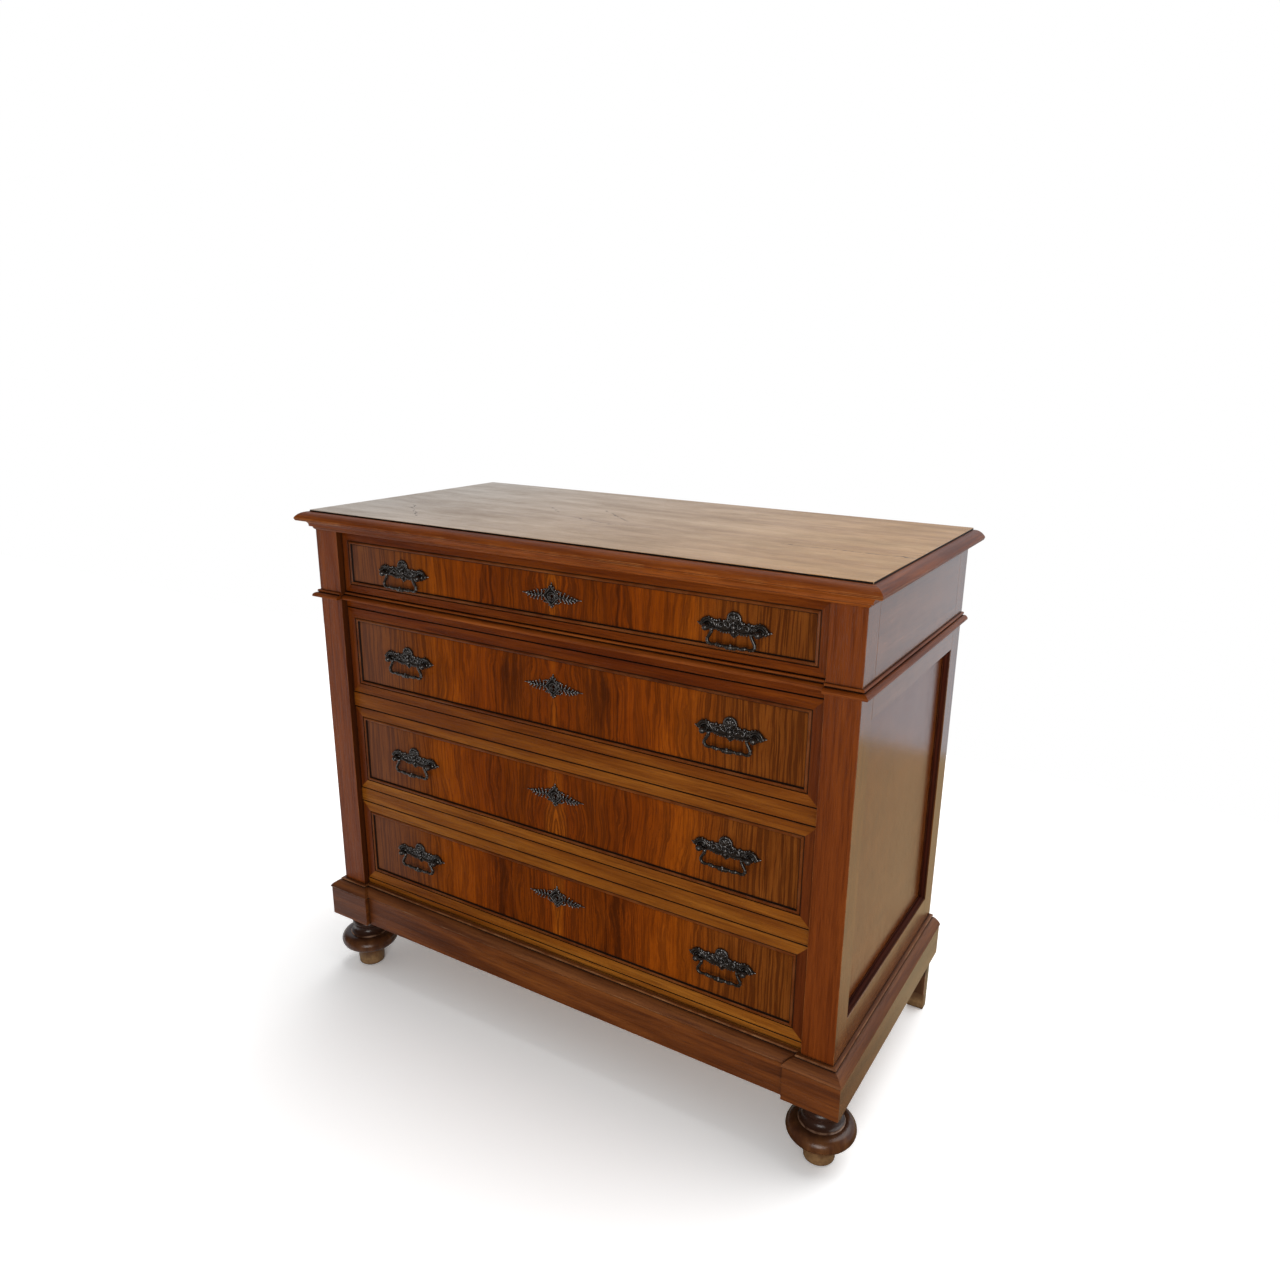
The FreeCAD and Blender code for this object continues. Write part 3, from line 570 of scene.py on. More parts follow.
# a darker walnut for the panel mouldings: painted shade in the recess behind the side frames
shaded_recess_walnut = plain_wood("shaded_recess_walnut", (0.026, 0.0045, 0.0020), (0.040, 0.0070, 0.0025),
                           (0.055, 0.011, 0.004), (0.09, 0.030, 0.012), DIRT_AND_SHADE, shine=0.5, gloss=0.03)
panel_moulding = piece("side_panel_mouldings", work, shaded_recess_walnut)
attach(panel_moulding, "carcase")
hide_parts("side_panel_moulding")


# ---- front rails ----
# Five walnut rails join the front posts: one under the top, three between the drawers and one
# behind the plinth. They are set back from the posts' faces and tenoned into them.
RAIL_FACE = 12.0
RAIL_BACK = 50.0
BASE_RAIL_TOP = 221.0
PLINTH_TOP = 210.5
PLINTH_BREAK = 9.0
OPENINGS = ((840.0, 957.0), (636.0, 811.0), (429.0, 607.0), (221.0, 401.0))
TOP_RAIL_FACE = 0.5
STRIKE_HALF, STRIKE_FRONT, STRIKE_BACK, STRIKE_DEPTH = 12.0, 26.0, 34.0, 10.5      # pockets for the bolts
CLEAR = 1.0                     # how far a cutting tool runs out of the wood


def settle(made):
    """Fixes an object's modifiers into its mesh."""
    bpy.context.view_layer.update()
    graph = bpy.context.evaluated_depsgraph_get()
    mesh = bpy.data.meshes.new_from_object(made.evaluated_get(graph), preserve_all_data_layers=True,
                                           depsgraph=graph)
    made.modifiers.clear()
    old, name = made.data, made.data.name
    made.data = mesh
    bpy.data.meshes.remove(old)
    mesh.name = name


def cut_away(made, cutter):
    """Cuts a finished shape out of an object."""
    tool = as_object("cutter", cutter)
    cut = made.modifiers.new("cut", "BOOLEAN")
    cut.operation = "DIFFERENCE"
    cut.solver = "EXACT"
    cut.use_self = True
    cut.object = tool
    settle(made)
    bpy.data.objects.remove(tool)


# the rails are painted darker and redder towards the top, as shade under the overhanging top
rail_walnut = plain_wood("rail_walnut", (0.115, 0.028, 0.0022), (0.175, 0.052, 0.0045),
                         (0.235, 0.082, 0.0095), WALNUT_WORN, DIRT_AND_SHADE, gloss=0.08,
                         painted_shade_above=(0.45, 0.80, (0.55, 0.34, 0.20)))

work = new_work()
rails = [(OPENINGS[0][1], TOP_LOW)]
rails += [(lower[1], upper[0]) for upper, lower in zip(OPENINGS, OPENINGS[1:])]
rails += [(PLINTH_LOW, BASE_RAIL_TOP)]
for index, (low, high) in enumerate(rails):
    face = RAIL_FACE if index else TOP_RAIL_FACE
    # their eased edges are darkened with painted shade along the gaps round the drawers
    board(work, (-POST_INNER, face, low), (POST_INNER, RAIL_BACK, high), ACROSS, soften=0.7, rims=-0.7)
board(work, (-POST_INNER, PLINTH_BREAK, PLINTH_LOW), (POST_INNER, RAIL_FACE, PLINTH_TOP), ACROSS)
front_rails = piece("front_frame_rails", work, rail_walnut)
cutter = bmesh.new()
for low, high in rails[:-1]:
    block(cutter, (-STRIKE_HALF, STRIKE_FRONT, low - CLEAR), (STRIKE_HALF, STRIKE_BACK, low + STRIKE_DEPTH))
cut_away(front_rails, cutter)
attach(front_rails, "carcase")
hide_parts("front_rails")


# ---- inside of the case ----
# Runners, guides, stops, the dust board under the lowest drawer and five upright back boards.
# All are plain pine, sawn and planed but never polished, and have gone brown with age.
PINE_DARK = (0.26, 0.13, 0.055)
PINE_MIDDLE = (0.42, 0.25, 0.115)
PINE_LIGHT = (0.52, 0.34, 0.17)
PINE_WORN = (0.58, 0.42, 0.25)
PINE_DIRT_AND_SHADE = (0.06, 0.035, 0.02)
pines = {}
for way, word in ((ACROSS, "across"), (DEPTHWISE, "depthwise"), (UPRIGHT, "upright")):
    pines[way] = plain_wood("pine_" + word, PINE_DARK, PINE_MIDDLE, PINE_LIGHT, PINE_WORN, PINE_DIRT_AND_SHADE,
                            way, shine=0.62, width=1.6, pore_share=0.15)


def keep_node(node, finish):
    """Leaves a piece of the frame as it is, with its finish."""
    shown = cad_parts[node]
    shown.data.materials.clear()
    shown.data.materials.append(finish)


keep_node("runners_and_stops", pines[DEPTHWISE])
keep_node("bottom_board", pines[ACROSS])
keep_node("back_boards", pines[UPRIGHT])


# ---- plinth ----
# A flat walnut fascia wraps the foot of the case on all four sides, and breaks forward over the
# two front posts. A moulded walnut cap is mitred round its upper edge.
FASCIA_OUT = 21.5
REAR_FOOT_INNER = 528.0


def case_run(setback):
    """Corners round the left side, the front and the right side, stepping back between the posts."""
    right = [(POST_INNER, setback), (POST_INNER, 0.0), (HALF_WIDTH, 0.0), (HALF_WIDTH, CASE_DEPTH)]
    left = [(-x, y) for x, y in reversed(right)]
    return [at(x, y, 0.0) for x, y in left + right]


UP = Vector((0.0, 0.0, 1.0))
PLINTH_WORN = (0.26, 0.12, 0.05)
plinth_walnut = plain_wood("plinth_walnut", (0.062, 0.015, 0.003), (0.115, 0.030, 0.0050),
                           (0.175, 0.052, 0.009), PLINTH_WORN, DIRT_AND_SHADE, shine=0.36, gloss=0.2, reach=0.012)
plinth_side_walnut = plain_wood("plinth_side_walnut", (0.060, 0.018, 0.006), (0.110, 0.034, 0.009),
                                (0.165, 0.055, 0.014), PLINTH_WORN, DIRT_AND_SHADE, shine=0.24, gloss=1.0,
                                grain_depth=0.0001)
work = new_work()
outline = drawn((0.0, PLINTH_LOW), [(0.0, FASCIA_TOP), (FASCIA_OUT, FASCIA_TOP), (FASCIA_OUT, PLINTH_LOW)])
moulding(work, outline, case_run(PLINTH_BREAK), UP)
board(work, (-REAR_FOOT_INNER, CASE_DEPTH - FASCIA_OUT, PLINTH_LOW),
      (REAR_FOOT_INNER, CASE_DEPTH, FASCIA_TOP), ACROSS)
mark(work, side_faces(work, beyond=HALF_WIDTH + FASCIA_OUT / 2), DEPTHWISE, 1)
plinth = piece("plinth_fascia", work, plinth_walnut, plinth_side_walnut)
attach(plinth, "carcase")
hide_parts("plinth_boards")

work = new_work()
outline = drawn((0.0, 190.0), [
    (0.0, 210.5), (5.2, 210.5), (7.2, 208.6, 5.6, 206.7), (5.6, 205.5), (8.2, 205.5),
    (18.5, 199.6, 23.5, 193.2), (22.3, 190.8), (20.5, 190.0)])
moulding(work, outline, case_run(PLINTH_BREAK), UP)
cap_walnut = plain_wood("cap_walnut", (0.060, 0.016, 0.004), (0.105, 0.030, 0.0065), (0.160, 0.052, 0.012),
                        (0.30, 0.15, 0.065), DIRT_AND_SHADE, shine=0.45, gloss=0.2)
plinth_cap = piece("plinth_cap_moulding", work, cap_walnut)
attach(plinth_cap, "carcase")
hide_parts("plinth_moulding")


# ---- feet ----
# Two turned beech bun feet stand under the front corners: sole, bun, ring, hollow neck and head
# from one block, stained dark and polished. Two plain square feet hold up the back.
FOOT_X, FOOT_Y = 526.0, 32.0
TURNING_STEPS = 48
SOLE_HEIGHT = 0.036
RING_LOW, RING_HIGH = 0.0772, 0.0800
REAR_FOOT_OUTER, REAR_FOOT_FRONT, REAR_FOOT_BACK, REAR_FOOT_TOP = 561.0, 506.0, 527.7, 189.8


def turned_finish(name):
    """Dark stained turned wood: deep gloss on the swell, pale scuffed sole."""
    made, tree, place = new_finish(name)
    figure, streaks = grain_of(tree, place, UPRIGHT, 1.5)[:2]
    colour = ramp(tree, figure, [(0.3, (0.038, 0.0125, 0.0060)), (0.5, (0.058, 0.020, 0.0075)),
                                 (0.72, (0.092, 0.035, 0.012))])
    shade = ramp(tree, streaks, [(0.0, (0.8, 0.78, 0.76)), (1.0, (1.1, 1.1, 1.1))])
    colour = blended(tree, 0.8, colour, shade, "MULTIPLY")
    height = put(tree, "SeparateXYZ", place).outputs[2]
    ragged = plus(tree, height, times(tree, noise(tree, place, 60.0, 3.0), 0.012))
    scuffed = spread(tree, ragged, SOLE_HEIGHT + 0.006, SOLE_HEIGHT - 0.014)
    scuffs = times(tree, scuffed, spread(tree, noise(tree, place, 90.0, 4.0, 0.7), 0.35, 0.65, 0.4))
    # darker above the ring: the dark stain, with painted shade under the plinth
    colour = blended(tree, spread(tree, height, 0.074, 0.082), colour, (0.026, 0.011, 0.007))
    colour = blended(tree, scuffs, colour, (0.22, 0.125, 0.050))
    worn, dirt_and_shade = put(tree, "Group", place, 0.008, node_tree=wear_and_shade_group).outputs
    colour = blended(tree, worn, colour, (0.34, 0.20, 0.13))
    # dirt and painted shade darken its corners
    colour = stained(tree, colour, dirt_and_shade, 0.8, DIRT_AND_SHADE)
    rough = plus(tree, spread(tree, figure, 0.0, 1.0, 0.30, 0.20), times(tree, scuffs, 0.35))
    finished(tree, colour, rough, streaks, 0.0002, gloss=0.3)
    return made


beech = turned_finish("stained_beech")
outline = drawn((0.0, 0.0), [
    (24.0, 0.0), (26.2, 2.2), (27.2, 18.0, 28.0, 36.0), (33.0, 42.3, 42.0, 45.5),
    (54.0, 50.4, 58.99, 61.0), (53.0, 73.6, 39.5, 77.0), (38.0, 78.0), (38.0, 80.0),
    (31.5, 84.5, 29.5, 93.0), (34.5, 100.0, 31.5, 108.0), (33.5, 111.0), (33.5, 128.0), (0.0, 128.0)])
work = new_work()
for side in (-1, 1):
    axis = at(side * FOOT_X, FOOT_Y, 0.0)
    rim = [work.verts.new(axis + Vector((p.x, 0.0, p.y)) * MM) for p in outline]
    edges = [work.edges.new(pair) for pair in zip(rim, rim[1:])]
    bmesh.ops.spin(work, geom=rim + edges, cent=axis, axis=UP, angle=math.tau, steps=TURNING_STEPS,
                   use_merge=True)
bmesh.ops.remove_doubles(work, verts=work.verts, dist=1e-6)
mark(work, work.faces, UPRIGHT)
mark(work, [f for f in work.faces if RING_LOW < f.calc_center_median().z < RING_HIGH], UPRIGHT, 0, 1.0)
for side in (-1, 1):
    inner, outer = sorted((side * REAR_FOOT_INNER, side * REAR_FOOT_OUTER))
    board(work, (inner, REAR_FOOT_FRONT, 0.0), (outer, REAR_FOOT_BACK, REAR_FOOT_TOP), UPRIGHT, soften=1.6)
feet = piece("feet_turned_and_square", work, beech, smooth_below=32.0)
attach(feet, "carcase")
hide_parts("feet")


# ---- waist moulding ----
# A small walnut moulding runs round the case under the top drawer: a torus over a hollow.
# It breaks forward round the posts and runs along the rail between them.
moulding_walnut = plain_wood("moulding_walnut", (0.080, 0.015, 0.0016), (0.145, 0.031, 0.0028),
                             (0.205, 0.050, 0.0055), (0.32, 0.13, 0.038), DIRT_AND_SHADE, shine=0.38, gloss=0.13)

work = new_work()
outline = drawn((0.0, 826.5), [
    (0.0, 840.0), (2.4, 840.0), (4.6, 837.6, 2.4, 835.2), (2.4, 834.4), (4.6, 834.4),
    (10.2, 832.2, 12.0, 829.5), (12.0, 826.5)])
for side in (-1, 1):
    corners = [at(side * x, y, 0.0) for x, y in (
        (POST_INNER, 0.0), (HALF_WIDTH, 0.0), (HALF_WIDTH, CASE_DEPTH))]
    moulding(work, outline, corners[::side], UP, proud_mark=0.2)
moulding(work, outline, [at(-POST_INNER, RAIL_FACE, 0.0), at(POST_INNER, RAIL_FACE, 0.0)], UP, proud_mark=0.2)
waist = piece("waist_mouldings", work, moulding_walnut)
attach(waist, "carcase")
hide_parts("waist_moulding")


# ---- bed moulding ----
# A bead, a fillet and a cove close the corner between the frieze and the overhanging top.
# One mitred run of walnut goes round the left side, the front and the right side.
work = new_work()
outline = drawn((0.0, 957.0), [
    (2.4, 958.8, 3.5, 961.8), (3.5, 963.4), (8.5, 963.4), (8.5, 965.6), (10.4, 970.6, 15.0, 973.4),
    (15.5, 975.0), (0.0, 975.0)])
corners = [at(x, y, 0.0) for x, y in (
    (-HALF_WIDTH, CASE_DEPTH), (-HALF_WIDTH, 0.0), (HALF_WIDTH, 0.0), (HALF_WIDTH, CASE_DEPTH))]
moulding(work, outline, corners, UP)
bed = piece("bed_mouldings", work, moulding_walnut)
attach(bed, "carcase")
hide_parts("bed_moulding")


# ---- top board and its edge ----
# The top is a flat walnut board with long grain, faded by light to a tan and painted greyer towards the left
# as a sheen, scratched and slightly cracked. A moulded walnut edge is mitred round its front and sides, below
# its surface.
FIELD_EDGE = 555.5
FIELD_FRONT = -5.5
TOP_HIGH = 995.0
SCRATCHES = (((-100.0, 322.0), (20.0, 222.0)), ((-200.0, 282.0), (-156.0, 246.0)),
             ((-444.0, 154.0), (-340.0, 58.0)), ((-100.0, 214.0), (8.0, 182.0)),
             ((340.0, 184.0), (556.0, 186.0)))
SCRATCH_WIDTH = 0.0024


def line_mark():
    """Group: a thin crooked line between two places on a level surface."""
    tree, source, result = new_group("line_mark", [("Place", "Vector", None), ("Start", "Vector", None),
                                                   ("End", "Vector", None), ("Width", "Float", 0.001)],
                                     [("Mark", "Float")])
    place, start, end, width = source[:4]
    crook = put(tree, "TexNoise", place, None, 38.0, 4.0, 0.7).outputs[1]
    crook = vectors(tree, "SUBTRACT", crook, (0.5, 0.5, 0.5))
    bent = vectors(tree, "ADD", stretched(tree, crook, 0.030, 0.030, 0.0), place)
    reach = vectors(tree, "SUBTRACT", bent, start)
    whole = vectors(tree, "SUBTRACT", end, start)
    dot = vectors(tree, "DOT_PRODUCT", reach, whole, gives="Value")
    square = vectors(tree, "DOT_PRODUCT", whole, whole, gives="Value")
    share = put(tree, "Clamp", math_of(tree, "DIVIDE", dot, square)).outputs[0]
    nearest = vectors(tree, "SCALE", whole, None, None, share)
    gap = vectors(tree, "LENGTH", vectors(tree, "SUBTRACT", reach, nearest), gives="Value")
    thinned = spread(tree, noise(tree, place, 90.0, 3.0, 0.6), 0.4, 0.7)
    gap = plus(tree, gap, times(tree, thinned, 0.0025))
    tree.links.new(spread(tree, gap, 0.0, width, 1.0, 0.0), result[0])
    return tree


def faded_top(name):
    """Long-grained walnut, bleached by light and painted greyer towards the left as a sheen, with scratches,
    stains and a worn rim.
    """
    made, tree, place = new_finish(name)
    figure, streaks, pores = grain_of(tree, place, ACROSS, 0.8)
    sheen_grey = ramp(tree, figure, [(0.25, (0.33, 0.27, 0.22)), (0.5, (0.41, 0.35, 0.29)),
                                 (0.75, (0.48, 0.42, 0.36))])
    browner = ramp(tree, figure, [(0.25, (0.35, 0.18, 0.068)), (0.5, (0.48, 0.268, 0.108)),
                                  (0.75, (0.56, 0.34, 0.155))])
    # painted sheen: the top is greyer towards the left and browner towards the right
    side_on = put(tree, "SeparateXYZ", place).outputs[0]
    colour = blended(tree, spread(tree, side_on, -0.50, 0.45), sheen_grey, browner)
    shade = ramp(tree, streaks, [(0.0, (0.84, 0.82, 0.8)), (0.6, (1.0, 1.0, 1.0)), (1.0, (1.06, 1.06, 1.06))])
    colour = blended(tree, 0.7, colour, shade, "MULTIPLY")
    stains = spread(tree, noise(tree, stretched(tree, place, 5.0, 14.0, 1.0), 1.0, 6.0, 0.7), 0.42, 0.66)
    colour = stained(tree, colour, stains, 0.45, (0.20, 0.140, 0.095))
    specks = spread(tree, noise(tree, stretched(tree, place, 60.0, 110.0, 1.0), 1.0, 4.0, 0.7), 0.66, 0.74)
    colour = stained(tree, colour, specks, 0.7, (0.10, 0.06, 0.035))
    colour = stained(tree, colour, pores, 0.3, (0.13, 0.085, 0.05))
    line = line_mark()
    level = stretched(tree, place, 1.0, 1.0, 0.0)
    marks = 0.0
    for start, end in SCRATCHES:
        ends = [Vector((*at(x, y, 0.0).xy, 0.0)) for x, y in (start, end)]
        found = put(tree, "Group", level, *ends, SCRATCH_WIDTH, node_tree=line).outputs[0]
        marks = found if marks == 0.0 else math_of(tree, "MAXIMUM", marks, found)
    colour = blended(tree, spread(tree, marks, 0.05, 0.6), colour, (0.03, 0.016, 0.009))
    worn, dirt_and_shade = put(tree, "Group", place, 0.004, node_tree=wear_and_shade_group).outputs
    colour = stained(tree, colour, worn, 0.7, (0.5, 0.38, 0.27))
    # dirt and painted shade darken its corners
    colour = blended(tree, dirt_and_shade, colour, (0.006, 0.003, 0.002))
    rough = spread(tree, stains, 0.0, 1.0, 0.38, 0.5)
    height = less(tree, less(tree, streaks, pores), marks)
    finished(tree, colour, rough, height, 0.0003, gloss=0.2)
    return made


work = new_work()
# its front and side faces are darkened with painted shade in the step above the edge moulding
board(work, (-FIELD_EDGE, FIELD_FRONT, TOP_LOW), (FIELD_EDGE, CASE_DEPTH, TOP_HIGH), ACROSS, sides=-1.0)
mark(work, [f for f in work.faces if f.normal.y > 0.9], ACROSS, 0, 0.0)
top = piece("top_board_faded", work, faded_top("faded_walnut_top"))
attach(top, "carcase")
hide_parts("top_board")

work = new_work()
outline = drawn((0.0, 975.0), [
    (0.0, 991.5), (2.0, 991.5), (14.5, 987.9, 21.5, 980.6), (21.5, 978.2), (20.5, 977.6), (20.5, 976.0),
    (19.5, 975.0)])
corners = [at(x, y, 0.0) for x, y in (
    (-FIELD_EDGE, CASE_DEPTH), (-FIELD_EDGE, FIELD_FRONT),
    (FIELD_EDGE, FIELD_FRONT), (FIELD_EDGE, CASE_DEPTH))]
moulding(work, outline, corners, UP)
top_edge = piece("top_edge_mouldings", work, moulding_walnut)
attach(top_edge, "carcase")
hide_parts("top_edge_moulding")


# ---- drawer fronts ----
# Each front is a thick board, veneered with matched upright leaves that open from the middle.
# A narrow walnut frame is mitred round its edge, with the veneered field sunk behind it.
FRONT_HALF = 492.8
FIELD_FACE = 16.0
FRONT_BACK = 36.0
FIT_LOW, FIT_TOP = 1.0, 1.2
MARGINS = (14.5, 19.0, 19.0, 20.0)
KEY_DROPS = (61.0, 75.0, 75.0, 73.0)            # keyholes and handles, below the top of the opening
HANDLE_DROPS = (63.0, 84.0, 84.0, 84.0)
DRAWERS = ["drawer_%d" % number for number in (1, 2, 3, 4)]
KEYS = [high - drop for (_, high), drop in zip(OPENINGS, KEY_DROPS)]
HANDLES = [high - drop for (_, high), drop in zip(OPENINGS, HANDLE_DROPS)]
FORWARD = Vector((0.0, -1.0, 0.0))
KEY_RADIUS, KEY_SLOT, KEY_LENGTH, KEY_DEPTH = 3.2, 1.5, 9.0, 9.0
LOCK_HALF, LOCK_FRONT, LOCK_DROP = 24.15, 23.85, 14.15             # the lock's mortise, with a little room
PLATE_HALF, PLATE_FRONT, PLATE_THICK = 30.15, 22.85, 2.65
EDGE_CHAMFER = 0.9
END_SHY = 0.3                   # planed back this far from the ends of the dovetails

# the fronts' left ends are greyed by a painted sheen
front_veneer = flamed_veneer(
    "drawer_front_veneer",
    [(0.0, (0.230, 0.055, 0.003)), (0.03, (0.150, 0.028, 0.0016)), (0.16, (0.140, 0.028, 0.0014)),
     (0.23, (0.125, 0.024, 0.0012)), (0.30, (0.160, 0.030, 0.0014)), (0.40, (0.180, 0.036, 0.0016)),
     (0.53, (0.205, 0.045, 0.0022)), (0.59, (0.165, 0.038, 0.0030)), (0.68, (0.140, 0.037, 0.0044)),
     (1.0, (0.120, 0.034, 0.0052))],
    [(0.0, 0.15), (0.16, 0.35), (0.22, 0.85), (0.31, 0.8), (0.36, 0.3), (0.44, 0.3), (0.48, 0.3),
     (0.55, 0.5), (0.62, 0.08), (1.0, 0.05)],
    [(0.0, 0.8), (0.17, 0.7), (0.24, 0.55), (0.56, 0.45), (0.60, 0.75), (0.8, 0.9), (1.0, 0.8)], 0.5,
    gloss=0.02, painted_sheen=(-0.30, -0.42, (0.15, 0.085, 0.07), 0.22))
stile_walnut = plain_wood("stile_walnut", (0.060, 0.011, 0.0014), (0.085, 0.016, 0.0018),
                          (0.115, 0.025, 0.003), WALNUT_WORN, DIRT_AND_SHADE, gloss=0.12)
bead_walnut = plain_wood("bead_walnut", (0.060, 0.012, 0.0015), (0.095, 0.021, 0.0024),
                         (0.130, 0.034, 0.005), (0.24, 0.095, 0.030), DIRT_AND_SHADE, gloss=0.14)


def loop(x, low, high, y):
    """Corners of an upright rectangle in the front, for a moulding whose across axis points inwards."""
    return [at(-x, y, low), at(-x, y, high), at(x, y, high), at(x, y, low)]


def keyhole(cutter, middle, depth):
    """A keyhole to cut with: a round eye over a slot."""
    place = Matrix.Translation(middle) @ Matrix.Rotation(math.pi / 2, 4, "X")
    bmesh.ops.create_cone(cutter, cap_ends=True, segments=24, radius1=KEY_RADIUS * MM,
                          radius2=KEY_RADIUS * MM, depth=depth, matrix=place)
    slot_middle = middle - UP * (KEY_LENGTH / 2) * MM
    size = Vector((2 * KEY_SLOT * MM, depth - 0.02 * MM, KEY_LENGTH * MM, 1.0))
    bmesh.ops.create_cube(cutter, size=1.0, matrix=Matrix.Translation(slot_middle) @ Matrix.Diagonal(size))


for body, (low, high), margin, key in zip(DRAWERS, OPENINGS, MARGINS, KEYS):
    low, high = low + FIT_LOW, high - FIT_TOP
    end = FRONT_HALF - END_SHY
    work = new_work()
    board(work, (-end, FIELD_FACE, low), (end, FRONT_BACK, high), UPRIGHT, soften=0.5)
    field = piece(body + "_front_field", work, front_veneer)
    cutter = bmesh.new()
    keyhole(cutter, at(0.0, FIELD_FACE, key), 2 * KEY_DEPTH * MM)
    for half, front, foot in ((LOCK_HALF, LOCK_FRONT, key - LOCK_DROP),
                              (PLATE_HALF, PLATE_FRONT, high - PLATE_THICK)):
        block(cutter, (-half, front, foot), (half, FRONT_BACK + CLEAR, high + CLEAR))
    cut_away(field, cutter)
    edge_marks = field.data.attributes["edge"].data
    for face in field.data.polygons:            # the walls of the keyhole are painted black as shade
        if face.area < (KEY_LENGTH * MM) ** 2 and abs(face.center.x) < KEY_RADIUS * 1.2 * MM:
            edge_marks[face.index].value = -1.0
    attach(field, body)
    work = new_work()
    sink = FIELD_FACE - RAIL_FACE
    outline = drawn((0.0, 0.0), [
        (0.0, sink - EDGE_CHAMFER), (EDGE_CHAMFER, sink), (margin, sink), (margin, 0.0)])
    # the frame's proud corners and its outer chamfer are darkened with painted shade in the gap round the
    # drawer
    moulding(work, outline, loop(FRONT_HALF, low, high, FIELD_FACE), FORWARD, closed=True, proud_mark=-0.5,
             grime_and_shade=(0.0, EDGE_CHAMFER))
    upright = [f for f in work.faces if f[work.faces.layers.float["way"]] == UPRIGHT]
    mark(work, upright, UPRIGHT, 1)
    border = piece(body + "_front_frame", work, rail_walnut, stile_walnut)
    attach(border, body)
    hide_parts(body + "_front")

    # the bead, mitred round the sunk field and glued into the corner of the frame
    work = new_work()
    outline = drawn((0.0, 0.0), [
        (0.0, 2.4), (1.0, 2.4), (3.6, 4.6, 7.0, 1.4), (7.0, 0.8), (8.0, 0.8), (8.0, 0.0)])
    # its inner side, where it drops to the field, is darkened with painted shade
    moulding(work, outline, loop(FRONT_HALF - margin, low + margin, high - margin, FIELD_FACE), FORWARD,
             closed=True, proud_mark=0.5, grime_and_shade=(6.3, 9.0))
    bead = piece(body + "_front_bead", work, bead_walnut)
    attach(bead, body)
    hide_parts(body + "_moulding")


# ---- drawer boxes ----
# Dovetailed pine sides, a pine back set between them and a pine bottom in grooves.
# The fronts of the sides are let into the drawer fronts behind the veneer.
for body in DRAWERS:
    keep_node(body + "_sides", pines[DEPTHWISE])
    keep_node(body + "_back", pines[ACROSS])
    keep_node(body + "_bottom", pines[ACROSS])


# ---- locks ----
# A half-mortise iron lock is let into the back of each drawer front, under an edge plate.
# Its flat bolt shoots up into the rail above.
def filed_iron(name):
    """Iron filed bright, with brown blotches of old rust and fine scratches."""
    made, tree, place = new_finish(name)
    blotches = noise(tree, place, 45.0, 5.0, 0.65)
    scratches = noise(tree, stretched(tree, place, 900.0, 60.0, 60.0), 1.0, 2.0)
    colour = ramp(tree, blotches, [(0.3, (0.10, 0.075, 0.06)), (0.5, (0.22, 0.20, 0.19)),
                                   (0.7, (0.30, 0.29, 0.28))])
    rough = spread(tree, blotches, 0.3, 0.7, 0.6, 0.38)
    bare = spread(tree, blotches, 0.3, 0.5, 0.5, 0.9)
    finished(tree, colour, rough, scratches, 0.0001, relief=0.5, metallic=bare)
    return made


iron = filed_iron("filed_lock_iron")
for body in DRAWERS:
    keep_node(body + "_lock_case", iron)
    keep_node(body + "_lock_bolt", iron)


# ---- handle plates ----
# Cast dark bronze plates: a shell crest over a scrolled body, leaf ends, and a small drop.
# Each is fixed by two posts whose shanks pass through the front to square nuts inside.
VOXEL, KEEP_SHARE = 0.55, 0.6   # how finely a casting's skin is made, and the share of it kept
CAST_CREASE = 50.0              # a casting's edges stay crisp where they bend more than this
EYE_X, EYE_DROP = 44.0, 3.5
BALL_FACE = 5.5                 # depth of the bail's axis
BALL_RADIUS, COLLAR_RADIUS, POST_RADIUS = 5.8, 6.2, 3.9
HANDLE_X = 340.0
SHANK_RADIUS, SHANK_OUT = 2.5, 7.0
NUT_HALF, NUT_THICK = 5.0, 5.0


def bronze_finish(name):
    """Cast bronze with a nearly black patina, rubbed brighter with a painted highlight on what stands proud,
    and darkened with painted shade where little light reaches.
    """
    made, tree, place = new_finish(name)
    proud = put(tree, "NewGeometry").outputs["Pointiness"]
    patches = noise(tree, place, 130.0, 4.0, 0.6)
    pits = noise(tree, place, 900.0, 2.0, 0.6)
    # what stands proud is rubbed bright and carries a painted highlight
    proud_mark = times(tree, spread(tree, proud, 0.517, 0.572), spread(tree, patches, 0.40, 0.58, 0.30))
    colour = ramp(tree, patches, [(0.3, (0.012, 0.010, 0.009)), (0.55, (0.030, 0.026, 0.022)),
                                  (0.8, (0.050, 0.040, 0.030))])
    colour = blended(tree, proud_mark, colour, (0.56, 0.58, 0.61))
    colour = blended(tree, spread(tree, proud, 0.49, 0.44), colour, (0.004, 0.003, 0.003))
    # painted shade: ambient occlusion darkens the casting where little light reaches
    open_air = put(tree, "AmbientOcclusion", None, 0.005, samples=6, only_local=False).outputs["AO"]
    colour = blended(tree, spread(tree, open_air, 0.72, 0.40), colour, (0.003, 0.003, 0.003))
    rough = spread(tree, proud_mark, 0.0, 1.0, 0.46, 0.28)
    bare = spread(tree, patches, 0.2, 0.7, 0.55, 0.9)
    finished(tree, colour, rough, pits, 0.0002, relief=0.7, metallic=bare, coat=(0.6, 0.16))
    return made


bronze = bronze_finish("dark_cast_bronze")
work = bmesh.new()
bmesh.ops.create_uvsphere(work, u_segments=12, v_segments=8, radius=MM)
drop_of_wax = as_mesh("drop_of_wax", work)


def add_copy(work, mesh, place):
    """Adds a copy of a finished mesh to the work, in its place."""
    moved = mesh.copy()
    moved.transform(place)
    work.from_mesh(moved)
    bpy.data.meshes.remove(moved)


